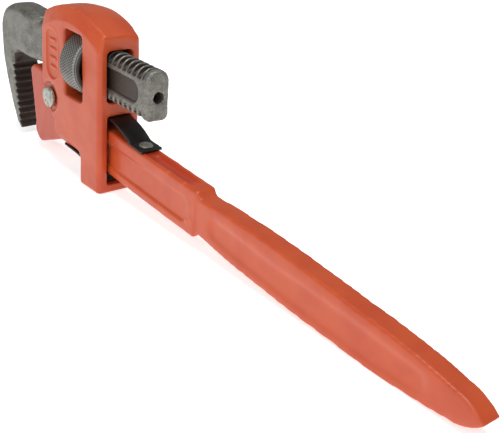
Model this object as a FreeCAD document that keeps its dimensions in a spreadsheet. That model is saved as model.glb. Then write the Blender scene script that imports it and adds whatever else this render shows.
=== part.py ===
import FreeCAD, Part
import math
import os
import Sketcher

# Pipe wrench of the Stillson pattern, standing on its lower edge.
#
# Row frame: +X runs from the jaws to the handle's tip, +Y lies along the pivot pin, +Z points
# from the handle up to the arch of the housing. The origin is the middle of the wrench's
# footprint on the surface that it stands on.
#
# Pieces are drawn in one of two frames:
#   housing frame  x = 0 at the housing's back face, z = 0 at the surface. "ahead" is towards
#                  the jaws, so it is a negative x.
#   handle frame   origin on the pivot pin's axis, x along the handle. The handle droops from
#                  the housing frame by handle_droop degrees about the pin.

DIMENSIONS = (
    # Housing
    ("housing_length", 67.0, "housing, front face to back face"),
    ("housing_width", 28.0, "housing across both cheeks"),
    ("shoulder_height", 92.9, "ends of the arch above the surface"),
    ("crown_height", 102.1, "arch's side edges above the surface, at its middle"),
    ("crown_swell", 3.0, "middle of the arch's top above its side edges"),
    ("crown_slope", 9.0, "sloping margin along each side of the arch's top"),
    ("chin_height", 38.0, "lower end of the housing's front face"),
    ("belly_ahead", 52.5, "step of the lower edge, ahead of the back face"),
    ("belly_top", 30.8, "height where the front face's slope meets the belly"),
    ("belly_front", 26.2, "height of the belly's front corner"),
    ("belly_slant", 4.0, "length of the slanted corner below the belly's front"),
    ("belly_height", 21.6, "height of the belly's lower edge"),
    ("leg_length", 21.6, "leg at the back, along the handle"),
    ("corner_round", 3.2, "rounding of the housing's rear edges"),
    ("edge_round", 1.2, "rounding of the housing's other outer edges"),
    ("leg_round", 7.0, "rounding between the belly and the leg"),
    ("mouth_round", 3.0, "corners of the shank's channel"),
    # Pivot pin
    ("pin_ahead", 59.5, "pivot pin, ahead of the back face"),
    ("pin_height", 43.6, "pivot pin above the surface"),
    ("pin_radius", 4.0, "pivot pin"),
    ("pin_play", 0.05, "radial running clearance of the handle on the pin"),
    ("pin_head_radius", 6.5, "peened head of the pin"),
    ("pin_head_height", 3.2, "peened head of the pin above its seat"),
    ("pin_rim_height", 1.76, "upright rim of its heads"),
    ("pin_rim_slope", 0.6, "sloping edge above the rim"),
    ("spotface_radius", 9.0, "recess round the pin's head"),
    ("spotface_depth", 1.4, "recess round the pin's head"),
    # Hook jaw
    ("shank_width", 14.8, "shank of the hook jaw across"),
    ("shank_height", 29.4, "shank of the hook jaw, over the thread crests"),
    ("shank_axis", 71.9, "axis of the thread above the surface"),
    ("shank_reach", 39.0, "shank's end behind the back face, jaws as set"),
    ("shank_round", 7.0, "upper corners of the shank's section"),
    ("shank_under_round", 4.0, "lower corners of the shank's section"),
    ("shank_play", 1.2, "shank to its channel in the housing, sideways"),
    ("shank_gap", 0.6, "shank to its channel in the housing, up and down"),
    ("end_block", 5.0, "unthreaded block at the shank's end"),
    ("end_bevel", 1.6, "bevel round the shank's end face"),
    ("end_hole_radius", 3.4, "blind hole in the shank's end"),
    ("end_hole_depth", 9.0, "blind hole in the shank's end"),
    ("panel_height", 13.7, "recessed panel along the shank's side"),
    ("panel_depth", 1.3, "recessed panel along the shank's side"),
    ("panel_drop", 0.3, "middle of the panel below the thread's axis"),
    ("hole_drop", 0.8, "end hole below the thread's axis"),
    ("panel_round", 6.028, "rounded end of the panel"),
    ("panel_margin", 9.5, "end of the panel to the shank's end"),
    ("hook_reach", 133.7, "front of the hook ahead of the back face"),
    ("hook_top", 88.8, "highest point of the hook"),
    ("hook_tip", 4.4, "lowest point of the hook"),
    ("neck_margin", 2.0, "plain shank ahead of the housing with the jaws closed"),
    ("nape_round", 60.0, "curve from the shank up to the hook's crest"),
    ("crest_behind", 30.0, "hook's crest behind its front"),
    ("crest_round", 34.0, "curve over the crest"),
    ("brow_behind", 6.0, "brow behind the hook's front"),
    ("brow_drop", 5.3, "brow below the crest"),
    ("brow_round", 21.0, "curve over the brow"),
    ("nose_drop", 19.6, "foremost point below the crest"),
    ("chest_behind", 2.0, "front face behind the foremost point, level with the teeth"),
    ("chest_drop", 2.3, "that point below the upper end of the teeth"),
    ("chest_round", 90.0, "curve of the upper front face"),
    ("shin_round", 150.0, "curve of the lower front face"),
    ("toe_ahead", 9.0, "front of the lower end, ahead of the teeth"),
    ("toe_rise", 3.0, "front of the lower end, above its lowest point"),
    ("toe_round", 4.0, "curve under the front of the lower end"),
    ("sole_length", 6.0, "flat of the lower end"),
    ("head_width", 18.8, "hook's head across"),
    ("tip_width", 15.0, "hook's lower end across"),
    ("neck_flare", 13.5, "length over which the shank widens to the head"),
    ("hook_back_depth", 19.3, "hook's body behind its front face, at the upper end of its teeth"),
    ("hook_lean", 4.2, "how far the teeth's lower end lies behind their upper end"),
    ("jaw_closing", 15.5, "travel of the hook from the jaws as set to shut"),
    ("throat_height", 48.8, "upper end of the hook's teeth"),
    ("throat_round", 4.0, "curve from the teeth to the shank"),
    # Thread
    ("thread_pitch", 5.0, "one start, right hand"),
    ("thread_depth", 2.8, "root below the shank's plain faces"),
    ("crest_relief", 0.15, "thread's crests below the shank's plain faces"),
    ("thread_crest", 1.3, "width of the shank's ridge at its crest"),
    ("thread_foot", 3.0, "width of the shank's ridge at its root"),
    ("thread_play", 0.3, "nut's bore to the shank, radial"),
    ("thread_ahead", 57.0, "front end of the thread ahead of the back face"),
    # Adjusting nut and its window
    ("window_length", 20.1, "window along the shank"),
    ("window_height", 40.0, "window up and down"),
    ("window_behind", 19.3, "window's rear edge ahead of the back face"),
    ("window_bevel", 0.8, "bevel around the nut's window"),
    ("window_round", 2.0, "corners of the window"),
    ("nut_radius", 18.9, "adjusting nut over the knurl"),
    ("nut_band", 16.0, "knurled band along the axis"),
    ("nut_play", 0.7, "nut's hub to the window, each end"),
    ("nut_hub_radius", 17.4, "plain hub of the nut"),
    ("nut_bevel", 0.9, "bevel at the band's ends"),
    # Plate recess on the cheeks
    ("plate_ahead", 54.0, "middle of the recessed plate ahead of the back face"),
    ("plate_height", 72.6, "middle of the recessed plate above the surface"),
    ("plate_width", 13.6, "recessed plate across"),
    ("plate_length", 31.2, "recessed plate up and down"),
    ("plate_depth", 0.9, "recessed plate"),
    # Slot for the handle
    ("slot_width", 16.4, "gap between the cheeks"),
    ("slot_floor", 5.2, "top of the foot inside the leg"),
    ("slot_round", 1.5, "corners of the slot, clear of the leaf springs"),
    ("bridge_height", 8.0, "metal between the slot and the shank's channel"),
    ("bridge_ahead", 44.0, "front edge of the bridge"),
    # Handle
    ("handle_droop", 3.1, "degrees, handle to shank"),
    ("handle_reach", 337.0, "handle's tip behind the pivot pin, along the handle"),
    ("bar_drop", 14.86, "bar's centre line below the pivot pin"),
    ("bar_height", 28.0, "front section of the handle, up and down"),
    ("bar_width", 13.2, "front section of the handle, across"),
    ("bar_reach", 144.6, "front section's end behind the pivot pin"),
    ("bar_round", 1.4, "edges of the front section"),
    ("grip_width", 12.2, "grip across"),
    ("grip_neck", 21.2, "grip up and down, just behind the step"),
    ("grip_belly", 26.6, "grip up and down, at its deepest"),
    ("grip_end", 15.0, "grip up and down, before the tip"),
    ("step_length", 3.4, "slope from the front section down to the grip"),
    ("collar_length", 3.0, "overlap of the grip with the front section"),
    ("collar_drop", 0.4, "top of the slope below the front section's edge"),
    ("collar_lip", 0.2, "start of the slope before the front section's end"),
    ("belly_behind", 60.0, "grip's deepest point behind the front section"),
    ("belly_sag", 0.7, "grip's middle below the bar's centre line, at the deepest point"),
    ("taper_length", 75.0, "start of the grip's taper before its tip"),
    ("taper_sag", 0.9, "grip's lower edge at the taper, below its depth there"),
    ("taper_fall", 2.6, "grip's upper edge at the taper, below its depth there"),
    ("nose_length", 18.0, "rounded nose of the grip"),
    ("nose_sag", 2.0, "nose's lower edge below its depth"),
    ("nose_fall", 1.2, "nose's upper edge below its depth"),
    ("nose_lag", 1.0, "nose's upper edge behind its lower edge"),
    ("tip_drop", 0.8, "tip below the bar's centre line"),
    ("neck_round", 500.0, "curve of the grip's upper edge behind the step"),
    ("neck_under_round", 450.0, "curve of the grip's lower edge behind the step"),
    ("long_round", 900.0, "curve of the grip's long edges"),
    ("taper_round", 330.0, "curve of the grip's taper"),
    ("nose_round", 28.0, "curve of the nose, above"),
    ("nose_under_round", 24.0, "curve of the nose, below"),
    ("panel_front_round", 6.2, "front end of the grip's panel"),
    ("panel_rear_round", 6.0, "rear end of the grip's panel"),
    ("panel_start", 13.0, "grip's panel behind the step"),
    ("panel_short", 16.0, "grip's panel before the nose"),
    ("panel_lag", 12.0, "bend of the panel's lower edge before the taper"),
    ("panel_low_edge", 4.0, "panel above the grip's lower edge, at the front"),
    ("panel_mid_edge", 3.0, "panel above the grip's lower edge, at the taper"),
    ("panel_sag", 0.2, "panel's lower edge at the rear, below the grip's depth"),
    ("panel_rear_edge", 4.6, "panel below the grip's upper edge, at the rear"),
    ("panel_deep_edge", 10.2, "panel below the grip's upper edge, at the deepest point"),
    ("panel_top_edge", 5.6, "panel below the grip's upper edge, at the front"),
    ("panel_rear_curve", 300.0, "curve of the panel's lower rear edge"),
    ("bar_panel_margin", 7.6, "front section's panel before its end"),
    ("bar_panel_round", 4.0, "corners of the front section's panel"),
    ("bar_panel_spread", 1.0, "panel's lower edge nearer to the bar's edge"),
    ("bar_panel_tuck", 1.2, "panel's upper edge further from the bar's edge"),
    ("channel_margin", 6.0, "top channel before the front section's end"),
    ("channel_gap", 4.0, "top channel behind the upper leaf spring"),
    ("channel_width", 5.28, "channel along the top of the front section"),
    ("bar_flange", 6.4, "bar's edges above and below its side panels"),
    ("rib_depth", 1.2, "recesses in the handle's sides and top"),
    # Heel jaw, forged on the handle's front end
    ("heel_width", 15.8, "heel jaw across"),
    ("heel_ahead", 36.3, "upper front corner ahead of the pivot pin"),
    ("heel_rake", 6.8, "how far the face's lower end lies behind its upper end"),
    ("heel_rise", 10.4, "top of the heel above the pivot pin"),
    ("heel_shoulder", 4.6, "upper end of the face above the pivot pin"),
    ("heel_drop", 40.0, "bottom of the heel below the pivot pin"),
    ("heel_root", 14.0, "rear end of the heel's thicker part, behind the pivot pin"),
    ("heel_sole", 6.0, "rear end of the heel's lower slope, behind the pivot pin"),
    ("heel_crest", 2.0, "rear end of the heel's top, behind the pivot pin"),
    ("heel_inset", 1.2, "heel's rear end inside the bar's edges"),
    ("heel_round", 9.0, "corners of the heel"),
    # Teeth
    ("tooth_pitch", 4.3, "teeth of both jaws"),
    ("tooth_depth", 1.6, "teeth of both jaws"),
    ("tooth_count", 10.0, "teeth of the hook; the heel has two fewer"),
    # Leaf springs and their rivets
    ("spring_thickness", 1.6, "both leaf springs"),
    ("spring_width", 14.2, "both leaf springs"),
    ("top_spring_gap", 0.42, "upper leaf spring to the bridge"),
    ("low_spring_gap", 0.32, "lower leaf spring to the foot"),
    ("low_spring_toe", 7.0, "lower leaf spring behind its contact"),
    ("top_spring_end", 93.6, "rear end behind the pivot pin"),
    ("top_spring_flat", 11.4, "riveted flat at the rear end"),
    ("top_spring_contact", 57.0, "contact under the bridge, behind the pivot pin"),
    ("top_spring_front", 46.0, "front end behind the pivot pin"),
    ("low_spring_front", 8.4, "front end behind the pivot pin"),
    ("low_spring_flat", 10.4, "riveted flat at the front end"),
    ("low_spring_contact", 50.0, "contact on the foot, behind the pivot pin"),
    ("rivet_radius", 2.0, "spring rivets, shank"),
    ("rivet_head_radius", 4.2, "spring rivets, head"),
    ("rivet_head_height", 1.7, "spring rivets, head"),
    ("rivet_rim", 0.3, "upright rim of a rivet's head"),
    ("rivet_dome", 7.0, "curve of a rivet's head"),
    ("rivet_inset", 6.0, "rivet's axis to the end of its spring"),
    ("rivet_length", 8.0, "rivet's shank inside the bar"),
)


SLACK = 0.02  # for finding an edge by its place, in millimetres
GULLET = 0.72  # share of a tooth's pitch from its tip to its gullet
LEVEL_END = 0.3125  # share of a leaf's thickness that its end falls away
PAST = 1.0  # how far a cut runs past what it cuts, in millimetres


class Size:
    """A number for drawing, kept with the spreadsheet formula that drives it."""

    def __init__(self, number, formula):
        self.number = float(number)
        self.formula = formula

    def joined(self, sign, other, number, swap=False):
        left, right = (other, self) if swap else (self, other)
        return Size(number, f"({left.formula} {sign} {right.formula})")

    def __add__(self, other):
        other = size(other)
        return self.joined("+", other, self.number + other.number)

    def __radd__(self, other):
        return size(other) + self

    def __sub__(self, other):
        other = size(other)
        return self.joined("-", other, self.number - other.number)

    def __rsub__(self, other):
        return size(other) - self

    def __mul__(self, other):
        other = size(other)
        return self.joined("*", other, self.number * other.number)

    def __rmul__(self, other):
        return size(other) * self

    def __truediv__(self, other):
        other = size(other)
        return self.joined("/", other, self.number / other.number)

    def __neg__(self):
        return size(0) - self


def size(value):
    """A plain number as a Size; a Size as it is."""
    return value if isinstance(value, Size) else Size(value, f"{float(value)!r}")


def cosine(angle):
    return Size(math.cos(math.radians(angle.number)), f"cos({angle.formula} * 1 deg)")


def sine(angle):
    return Size(math.sin(math.radians(angle.number)), f"sin({angle.formula} * 1 deg)")


def square_root(value):
    return Size(math.sqrt(value.number), f"sqrt({value.formula})")


class Sizes:
    """The driving dimensions, one attribute for each alias of the spreadsheet."""

    def __init__(self, doc):
        sheet = doc.addObject("Spreadsheet::Sheet", "Dims")
        for row, (name, value, note) in enumerate(DIMENSIONS, start=1):
            sheet.set(f"A{row}", name)
            sheet.set(f"B{row}", str(value))
            sheet.setAlias(f"B{row}", name)
            sheet.set(f"C{row}", note)
            setattr(self, name, Size(value, f"Dims.{name}"))
        doc.recompute()


def new_body(doc, name):
    body = doc.addObject("PartDesign::Body", name)
    body.Label = name
    return body


def sketch_on(body, name, plane, offset=0, shift=0, lift=0):
    """An empty sketch on one of the body's own origin planes.

    Its origin is moved by offset along the plane's normal, and by shift and lift within it.
    """
    sketch = body.newObject("Sketcher::SketchObject", name)
    origin = next(f for f in body.Origin.OriginFeatures if f.Role == plane)
    sketch.AttachmentSupport = [(origin, "")]
    sketch.MapMode = "FlatFace"
    moves = {"x": size(shift), "y": size(lift), "z": size(offset)}
    sketch.AttachmentOffset = FreeCAD.Placement(
        FreeCAD.Vector(*(move.number for move in moves.values())), FreeCAD.Rotation()
    )
    for axis, move in moves.items():
        sketch.setExpression(f"AttachmentOffset.Base.{axis}", move.formula)
    return sketch


def pin_point(sketch, label, geometry, end, u, v):
    """Hold one point of the sketch at (u, v) with constraints that follow the sheet."""
    for kind, axis, value, word in (
        ("DistanceX", -2, size(u), "across"),
        ("DistanceY", -1, size(v), "up"),
    ):
        if abs(value.number) < 1e-9:
            sketch.addConstraint(Sketcher.Constraint("PointOnObject", geometry, end, axis))
            continue
        # A distance is kept positive, so a point on the negative side swaps its two ends.
        ends = (-1, 1, geometry, end) if value.number > 0 else (geometry, end, -1, 1)
        value = value if value.number > 0 else -value
        index = sketch.addConstraint(Sketcher.Constraint(kind, *ends, value.number))
        sketch.renameConstraint(index, f"{word}_{label}")
        sketch.setExpression(f"Constraints.{word}_{label}", value.formula)


def outline(sketch, corners):
    """Draw a closed outline.

    A corner is (u, v), reached by a straight line, or (u, v, radius), reached by an arc that
    turns left for a positive radius and right for a negative one.
    """
    points = [FreeCAD.Vector(size(c[0]).number, size(c[1]).number, 0) for c in corners]
    first = sketch.GeometryCount
    ends = []
    for index, corner in enumerate(corners):
        start, stop = points[index - 1], points[index]
        if len(corner) == 2:
            line = sketch.addGeometry(Part.LineSegment(start, stop), False)
            ends.append((line, 1, 2))
            continue
        radius = size(corner[2])
        chord = stop - start
        middle = (start + stop) / 2
        right = FreeCAD.Vector(chord.y, -chord.x, 0).normalize()
        reach = abs(radius.number)
        sagitta = reach - math.sqrt(reach**2 - (chord.Length / 2) ** 2)
        bulge = middle + right * math.copysign(sagitta, radius.number)
        arc = sketch.addGeometry(Part.Arc(start, bulge, stop), False)
        forward = sketch.getPoint(arc, 1).distanceToPoint(start) < 1e-6
        ends.append((arc, 1, 2) if forward else (arc, 2, 1))
        held = sketch.addConstraint(Sketcher.Constraint("Radius", arc, reach))
        label = f"radius_{first + index}"
        sketch.renameConstraint(held, label)
        bend = radius if radius.number > 0 else -radius
        sketch.setExpression(f"Constraints.{label}", bend.formula)
    for index, corner in enumerate(corners):
        here, after = ends[index], ends[(index + 1) % len(corners)]
        sketch.addConstraint(
            Sketcher.Constraint("Coincident", here[0], here[2], after[0], after[1])
        )
        pin_point(sketch, str(first + index), here[0], here[2], corner[0], corner[1])
    return sketch


def circle(sketch, u, v, radius):
    """Draw a full circle about (u, v)."""
    radius = size(radius)
    centre = FreeCAD.Vector(size(u).number, size(v).number, 0)
    ring = sketch.addGeometry(
        Part.Circle(centre, FreeCAD.Vector(0, 0, 1), radius.number), False
    )
    pin_point(sketch, str(ring), ring, 3, u, v)
    held = sketch.addConstraint(Sketcher.Constraint("Radius", ring, radius.number))
    sketch.renameConstraint(held, f"radius_{ring}")
    sketch.setExpression(f"Constraints.radius_{ring}", radius.formula)
    return sketch


def rectangle(sketch, left, right, low, high):
    return outline(sketch, [(left, low), (right, low), (right, high), (left, high)])


def rounded(sketch, left, right, low, high, radius):
    """Draw a rectangle whose four corners are arcs."""
    return outline(
        sketch,
        [
            (right - radius, low),
            (right, low + radius, radius),
            (right, high - radius),
            (right - radius, high, radius),
            (left + radius, high),
            (left, high - radius, radius),
            (left, low + radius),
            (left + radius, low, radius),
        ],
    )


def extrude(body, kind, sketch, length, symmetric=False, reverse=False):
    """Pad or pocket a sketch, and stop if it changed nothing."""
    before = body.Shape.Volume if body.Tip else 0.0
    feature = body.newObject(f"PartDesign::{kind}", f"{sketch.Name}_{kind}")
    feature.Profile = sketch
    feature.SideType = "Symmetric" if symmetric else "One side"
    feature.Reversed = reverse
    length = size(length)
    feature.Length = length.number
    feature.setExpression("Length", length.formula)
    settle(body, feature, before, -1 if kind == "Pocket" else 1)
    return feature


def settle(body, feature, before, sign):
    """Recompute after a feature and check that it added or removed material."""
    body.Document.recompute()
    if "Invalid" in feature.State or "Error" in feature.State:
        raise RuntimeError(f"{body.Label}: {feature.Label} failed")
    change = body.Shape.Volume - before
    if change * sign <= 0:
        raise RuntimeError(f"{body.Label}: {feature.Label} changed the volume by {change:.3f}")


def edges_where(feature, wanted):
    """Names of the edges whose middle point and direction satisfy a test."""
    names = []
    for index, edge in enumerate(feature.Shape.Edges, start=1):
        if edge.Degenerated:
            continue
        half = (edge.FirstParameter + edge.LastParameter) / 2
        along = edge.tangentAt(half)
        if wanted(edge.valueAt(half), along, edge):
            names.append(f"Edge{index}")
    return names


def dress(body, kind, name, wanted, amount, second=None):
    """Fillet or chamfer the chosen edges of the body's tip; second is a chamfer's other side."""
    base = body.Tip
    names = edges_where(base, wanted)
    if not names:
        raise RuntimeError(f"{body.Label}: {name} finds no edge")
    feature = body.newObject(f"PartDesign::{kind}", name)
    feature.Base = (base, names)
    amount = size(amount)
    prop = "Radius" if kind == "Fillet" else "Size"
    setattr(feature, prop, amount.number)
    feature.setExpression(prop, amount.formula)
    if second is not None:
        feature.ChamferType = "Two distances"
        feature.Size2 = second.number
        feature.setExpression("Size2", second.formula)
    body.Document.recompute()
    if "Invalid" in feature.State or "Error" in feature.State:
        raise RuntimeError(f"{body.Label}: {name} failed on {len(names)} edges")
    return feature


def near(value, target):
    return abs(value - target) < SLACK


def both_cheeks(body, name, draw, half_width, depth):
    """Sink one drawn shape into both side faces, at y = -half_width and +half_width."""
    for side, sign in (("near", 1), ("far", -1)):
        sketch = sketch_on(body, f"{name}_{side}", "XZ_Plane", half_width * sign)
        draw(sketch)
        extrude(body, "Pocket", sketch, depth, reverse=sign < 0)


def place(body, base_x, base_z, angle=None):
    """Bind a body's placement; an angle turns it about +Y."""
    base_x, base_z = size(base_x), size(base_z)
    angle = size(0) if angle is None else angle
    body.Placement = FreeCAD.Placement(
        FreeCAD.Vector(base_x.number, 0, base_z.number),
        FreeCAD.Rotation(FreeCAD.Vector(0, 1, 0), angle.number),
    )
    body.setExpression("Placement.Base.x", base_x.formula)
    body.setExpression("Placement.Base.z", base_z.formula)
    if angle.number:
        body.setExpression("Placement.Rotation.Angle", f"{angle.formula} * 1 deg")


def frame_shift(s):
    """Housing frame to row frame: half of the difference of the two reaches."""
    tip = s.handle_reach * cosine(s.handle_droop) - s.bar_drop * sine(s.handle_droop)
    return (s.hook_reach - (tip - s.pin_ahead)) / 2


def build_housing(doc, s):
    body = new_body(doc, "housing_frame")
    half = s.housing_width / 2
    rise = s.crown_height - s.shoulder_height
    arch = (s.housing_length * s.housing_length / 4 + rise * rise) / (2 * rise)
    side = outline(
        sketch_on(body, "housing_side", "XZ_Plane"),
        [
            (-s.leg_length, 0),
            (0, 0),
            (0, s.shoulder_height + s.crown_swell),
            (-s.housing_length, s.shoulder_height + s.crown_swell, arch),
            (-s.housing_length, s.chin_height),
            (-s.belly_ahead, s.belly_top),
            (-s.belly_ahead, s.belly_front),
            (-s.belly_ahead + s.belly_slant, s.belly_height),
            (-s.leg_length, s.belly_height),
        ],
    )
    extrude(body, "Pad", side, s.housing_width, symmetric=True)
    dress(
        body, "Fillet", "leg_curve",
        lambda p, t, e: near(abs(t.y), 1) and near(p.x, -s.leg_length.number)
        and near(p.z, s.belly_height.number),
        s.leg_round,
    )
    dress(
        body, "Fillet", "chin_curve",
        lambda p, t, e: near(abs(t.y), 1) and near(p.x, -s.housing_length.number)
        and near(p.z, s.chin_height.number),
        s.leg_round,
    )
    dress(
        body, "Chamfer", "crown_slopes",
        lambda p, t, e: near(abs(p.y), half.number) and p.z > s.shoulder_height.number,
        s.crown_swell, s.crown_slope,
    )
    dress(
        body, "Fillet", "rear_edges",
        lambda p, t, e: near(abs(p.y), half.number) and near(p.x, 0),
        s.corner_round,
    )
    belly_end = s.belly_slant * 1.5 - s.belly_ahead
    dress(
        body, "Fillet", "outer_edges",
        lambda p, t, e: near(abs(p.y), half.number) and p.z > s.edge_round.number
        and not (p.x < belly_end.number and p.z < s.belly_top.number + PAST),
        s.edge_round,
    )
    dress(
        body, "Fillet", "foot_edges",
        lambda p, t, e: near(p.z, 0) and near(abs(t.y), 1),
        s.corner_round / 2,
    )

    channel = s.shank_height / 2 + s.shank_gap
    wall = s.shank_width / 2 + s.shank_play
    mouth = rounded(
        sketch_on(body, "shank_channel", "YZ_Plane"),
        -wall, wall, s.shank_axis - channel, s.shank_axis + channel, s.mouth_round,
    )
    extrude(body, "Pocket", mouth, s.housing_length * 2)

    slot = s.slot_width / 2
    slot_top = s.shank_axis - channel - s.bridge_height
    opening = rounded(
        sketch_on(body, "handle_slot", "YZ_Plane"),
        -slot, slot, s.slot_floor, slot_top, s.slot_round,
    )
    extrude(body, "Pocket", opening, s.housing_length * 2)
    throat = rectangle(
        sketch_on(body, "throat_slot", "YZ_Plane", -s.bridge_ahead),
        -slot, slot, s.belly_height, s.shank_axis,
    )
    extrude(body, "Pocket", throat, s.housing_length)

    window = rounded(
        sketch_on(body, "nut_window", "XZ_Plane"),
        -s.window_behind - s.window_length, -s.window_behind,
        s.shank_axis - s.window_height / 2, s.shank_axis + s.window_height / 2, s.window_round,
    )
    extrude(body, "Pocket", window, s.housing_width * 2, symmetric=True)

    def plate(sketch):
        wide, straight = s.plate_width / 2, (s.plate_length - s.plate_width) / 2
        outline(
            sketch,
            [
                (-s.plate_ahead + wide, s.plate_height - straight, wide),
                (-s.plate_ahead + wide, s.plate_height + straight),
                (-s.plate_ahead - wide, s.plate_height + straight, wide),
                (-s.plate_ahead - wide, s.plate_height - straight),
            ],
        )

    both_cheeks(body, "name_plate", plate, half, s.plate_depth)
    both_cheeks(
        body, "pin_seat",
        lambda sketch: circle(sketch, -s.pin_ahead, s.pin_height, s.spotface_radius),
        half, s.spotface_depth,
    )
    bore = circle(
        sketch_on(body, "pin_bore", "XZ_Plane"), -s.pin_ahead, s.pin_height, s.pin_radius
    )
    extrude(body, "Pocket", bore, s.housing_width * 2, symmetric=True)
    dress(
        body, "Chamfer", "window_bevel",
        lambda p, t, e: near(abs(p.y), half.number)
        and abs(p.x + s.window_behind.number + s.window_length.number / 2)
        < s.window_length.number / 2 + SLACK
        and abs(p.z - s.shank_axis.number) < s.window_height.number / 2 + SLACK,
        s.window_bevel,
    )
    place(body, frame_shift(s), 0)
    return body


def teeth(start, end, count, depth):
    """Corners of a row of saw teeth along a line, cut to the left of travel."""
    run = (end[0] - start[0]) / count, (end[1] - start[1]) / count
    length = square_root(run[0] * run[0] + run[1] * run[1])
    away = (-run[1] / length * depth, run[0] / length * depth)
    corners = []
    for index in range(int(count.number)):
        tip = (start[0] + run[0] * index, start[1] + run[1] * index)
        corners.append(tip)
        corners.append(
            (tip[0] + run[0] * GULLET + away[0], tip[1] + run[1] * GULLET + away[1])
        )
    return corners + [end]


def build_hook(doc, s):
    body = new_body(doc, "hook_jaw")
    half = s.shank_height / 2
    root = half - s.thread_depth
    front = -s.hook_reach
    back = front + s.hook_back_depth
    low = s.throat_height - s.tooth_pitch * s.tooth_count
    tip_back = back + s.hook_lean
    thread_end = s.shank_reach - s.end_block
    neck = s.housing_length + s.jaw_closing + s.neck_margin
    crest = half - s.crest_relief
    ridges = []
    for index in range(int(((s.thread_ahead + thread_end) / s.thread_pitch).number)):
        middle = thread_end - s.thread_pitch * (index + 0.5)
        ridges += [
            (middle + s.thread_foot / 2, root),
            (middle + s.thread_crest / 2, crest),
            (middle - s.thread_crest / 2, crest),
            (middle - s.thread_foot / 2, root),
        ]
    core = outline(
        sketch_on(body, "shank_thread", "XZ_Plane", lift=s.shank_axis),
        [
            (-s.thread_ahead - PAST, 0),
            (thread_end + PAST, 0),
            (thread_end + PAST, root),
            *ridges,
            (-s.thread_ahead - PAST, root),
        ],
    )
    revolve(body, core, "H_Axis")
    end = rectangle(
        sketch_on(body, "shank_end", "XZ_Plane", lift=s.shank_axis),
        thread_end, s.shank_reach, -half, half,
    )
    extrude(body, "Pad", end, s.shank_width, symmetric=True)
    side = outline(
        sketch_on(body, "hook_side", "XZ_Plane"),
        [
            (-s.thread_ahead, s.shank_axis - half),
            (-s.thread_ahead, s.shank_axis + half),
            (-neck, s.shank_axis + half),
            (front + s.crest_behind, s.hook_top, s.nape_round),
            (front + s.brow_behind, s.hook_top - s.brow_drop, s.crest_round),
            (front, s.hook_top - s.nose_drop, s.brow_round),
            (front + s.chest_behind, s.throat_height - s.chest_drop, s.chest_round),
            (tip_back - s.toe_ahead, s.hook_tip + s.toe_rise, s.shin_round),
            (tip_back - s.sole_length, s.hook_tip, s.toe_round),
            (tip_back, s.hook_tip),
            *teeth((tip_back, low), (back, s.throat_height), s.tooth_count, s.tooth_depth),
            (back, s.shank_axis - half - s.throat_round),
            (back + s.throat_round, s.shank_axis - half, -s.throat_round),
        ],
    )
    extrude(body, "Pad", side, s.head_width, symmetric=True)

    # Everything outside the shank's rounded section is cut away, thread included.
    section = sketch_on(body, "shank_section", "YZ_Plane", s.shank_reach, lift=s.shank_axis)
    wall, over, under = s.shank_width / 2, s.shank_round, s.shank_under_round
    outline(
        section,
        [
            (-wall + over, half),
            (-wall, half - over, over),
            (-wall, -half + under),
            (-wall + under, -half, under),
            (wall - under, -half),
            (wall, -half + under, under),
            (wall, half - over),
            (wall - over, half, over),
        ],
    )
    rectangle(section, -s.shank_height, s.shank_height, -s.shank_height * 2, s.shank_height)
    extrude(body, "Pocket", section, s.shank_reach + neck)

    # The head widens from the shank and narrows again to the tip.
    broad, tip = s.head_width / 2, s.tip_width / 2
    flare = sketch_on(body, "neck_flare_plan", "XY_Plane", s.hook_top + PAST)
    for sign in (1, -1):
        outline(
            flare,
            [
                (-neck, wall * sign),
                (-neck, (broad + PAST) * sign),
                (-neck - s.neck_flare, (broad + PAST) * sign),
                (-neck - s.neck_flare, broad * sign),
            ],
        )
    extrude(body, "Pocket", flare, s.hook_top + 2 * PAST)
    taper = sketch_on(body, "tip_taper_front", "YZ_Plane", -neck)
    for sign in (1, -1):
        outline(
            taper,
            [
                (broad * sign, s.throat_height),
                ((broad + PAST) * sign, s.throat_height),
                ((broad + PAST) * sign, s.hook_tip - PAST),
                (tip * sign, s.hook_tip - PAST),
            ],
        )
    extrude(body, "Pocket", taper, s.hook_reach)

    panel_middle = s.shank_axis - s.panel_drop
    both_cheeks(
        body, "shank_panel",
        lambda sketch: rounded(
            sketch, -s.housing_length, s.shank_reach - s.panel_margin,
            panel_middle - s.panel_height / 2, panel_middle + s.panel_height / 2,
            s.panel_round,
        ),
        wall, s.panel_depth,
    )
    dress(
        body, "Chamfer", "end_face_bevel",
        lambda p, t, e: near(p.x, s.shank_reach.number),
        s.end_bevel,
    )
    hole = circle(
        sketch_on(body, "end_hole", "YZ_Plane", s.shank_reach),
        0, s.shank_axis - s.hole_drop, s.end_hole_radius,
    )
    extrude(body, "Pocket", hole, s.end_hole_depth)

    place(body, frame_shift(s), 0)
    return body


def build_nut(doc, s):
    body = new_body(doc, "adjusting_nut")
    half = s.shank_height / 2
    bore = half + s.thread_play
    middle = -s.window_behind - s.window_length / 2
    hub, band = s.window_length / 2 - s.nut_play, s.nut_band / 2
    profile = outline(
        sketch_on(body, "nut_profile", "XZ_Plane", shift=middle, lift=s.shank_axis),
        [
            (-hub, bore),
            (hub, bore),
            (hub, s.nut_hub_radius),
            (band, s.nut_hub_radius),
            (band, s.nut_radius - s.nut_bevel),
            (band - s.nut_bevel, s.nut_radius),
            (-band + s.nut_bevel, s.nut_radius),
            (-band, s.nut_radius - s.nut_bevel),
            (-band, s.nut_hub_radius),
            (-hub, s.nut_hub_radius),
        ],
    )
    revolve(body, profile, "H_Axis")
    place(body, frame_shift(s), 0)
    return body


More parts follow.
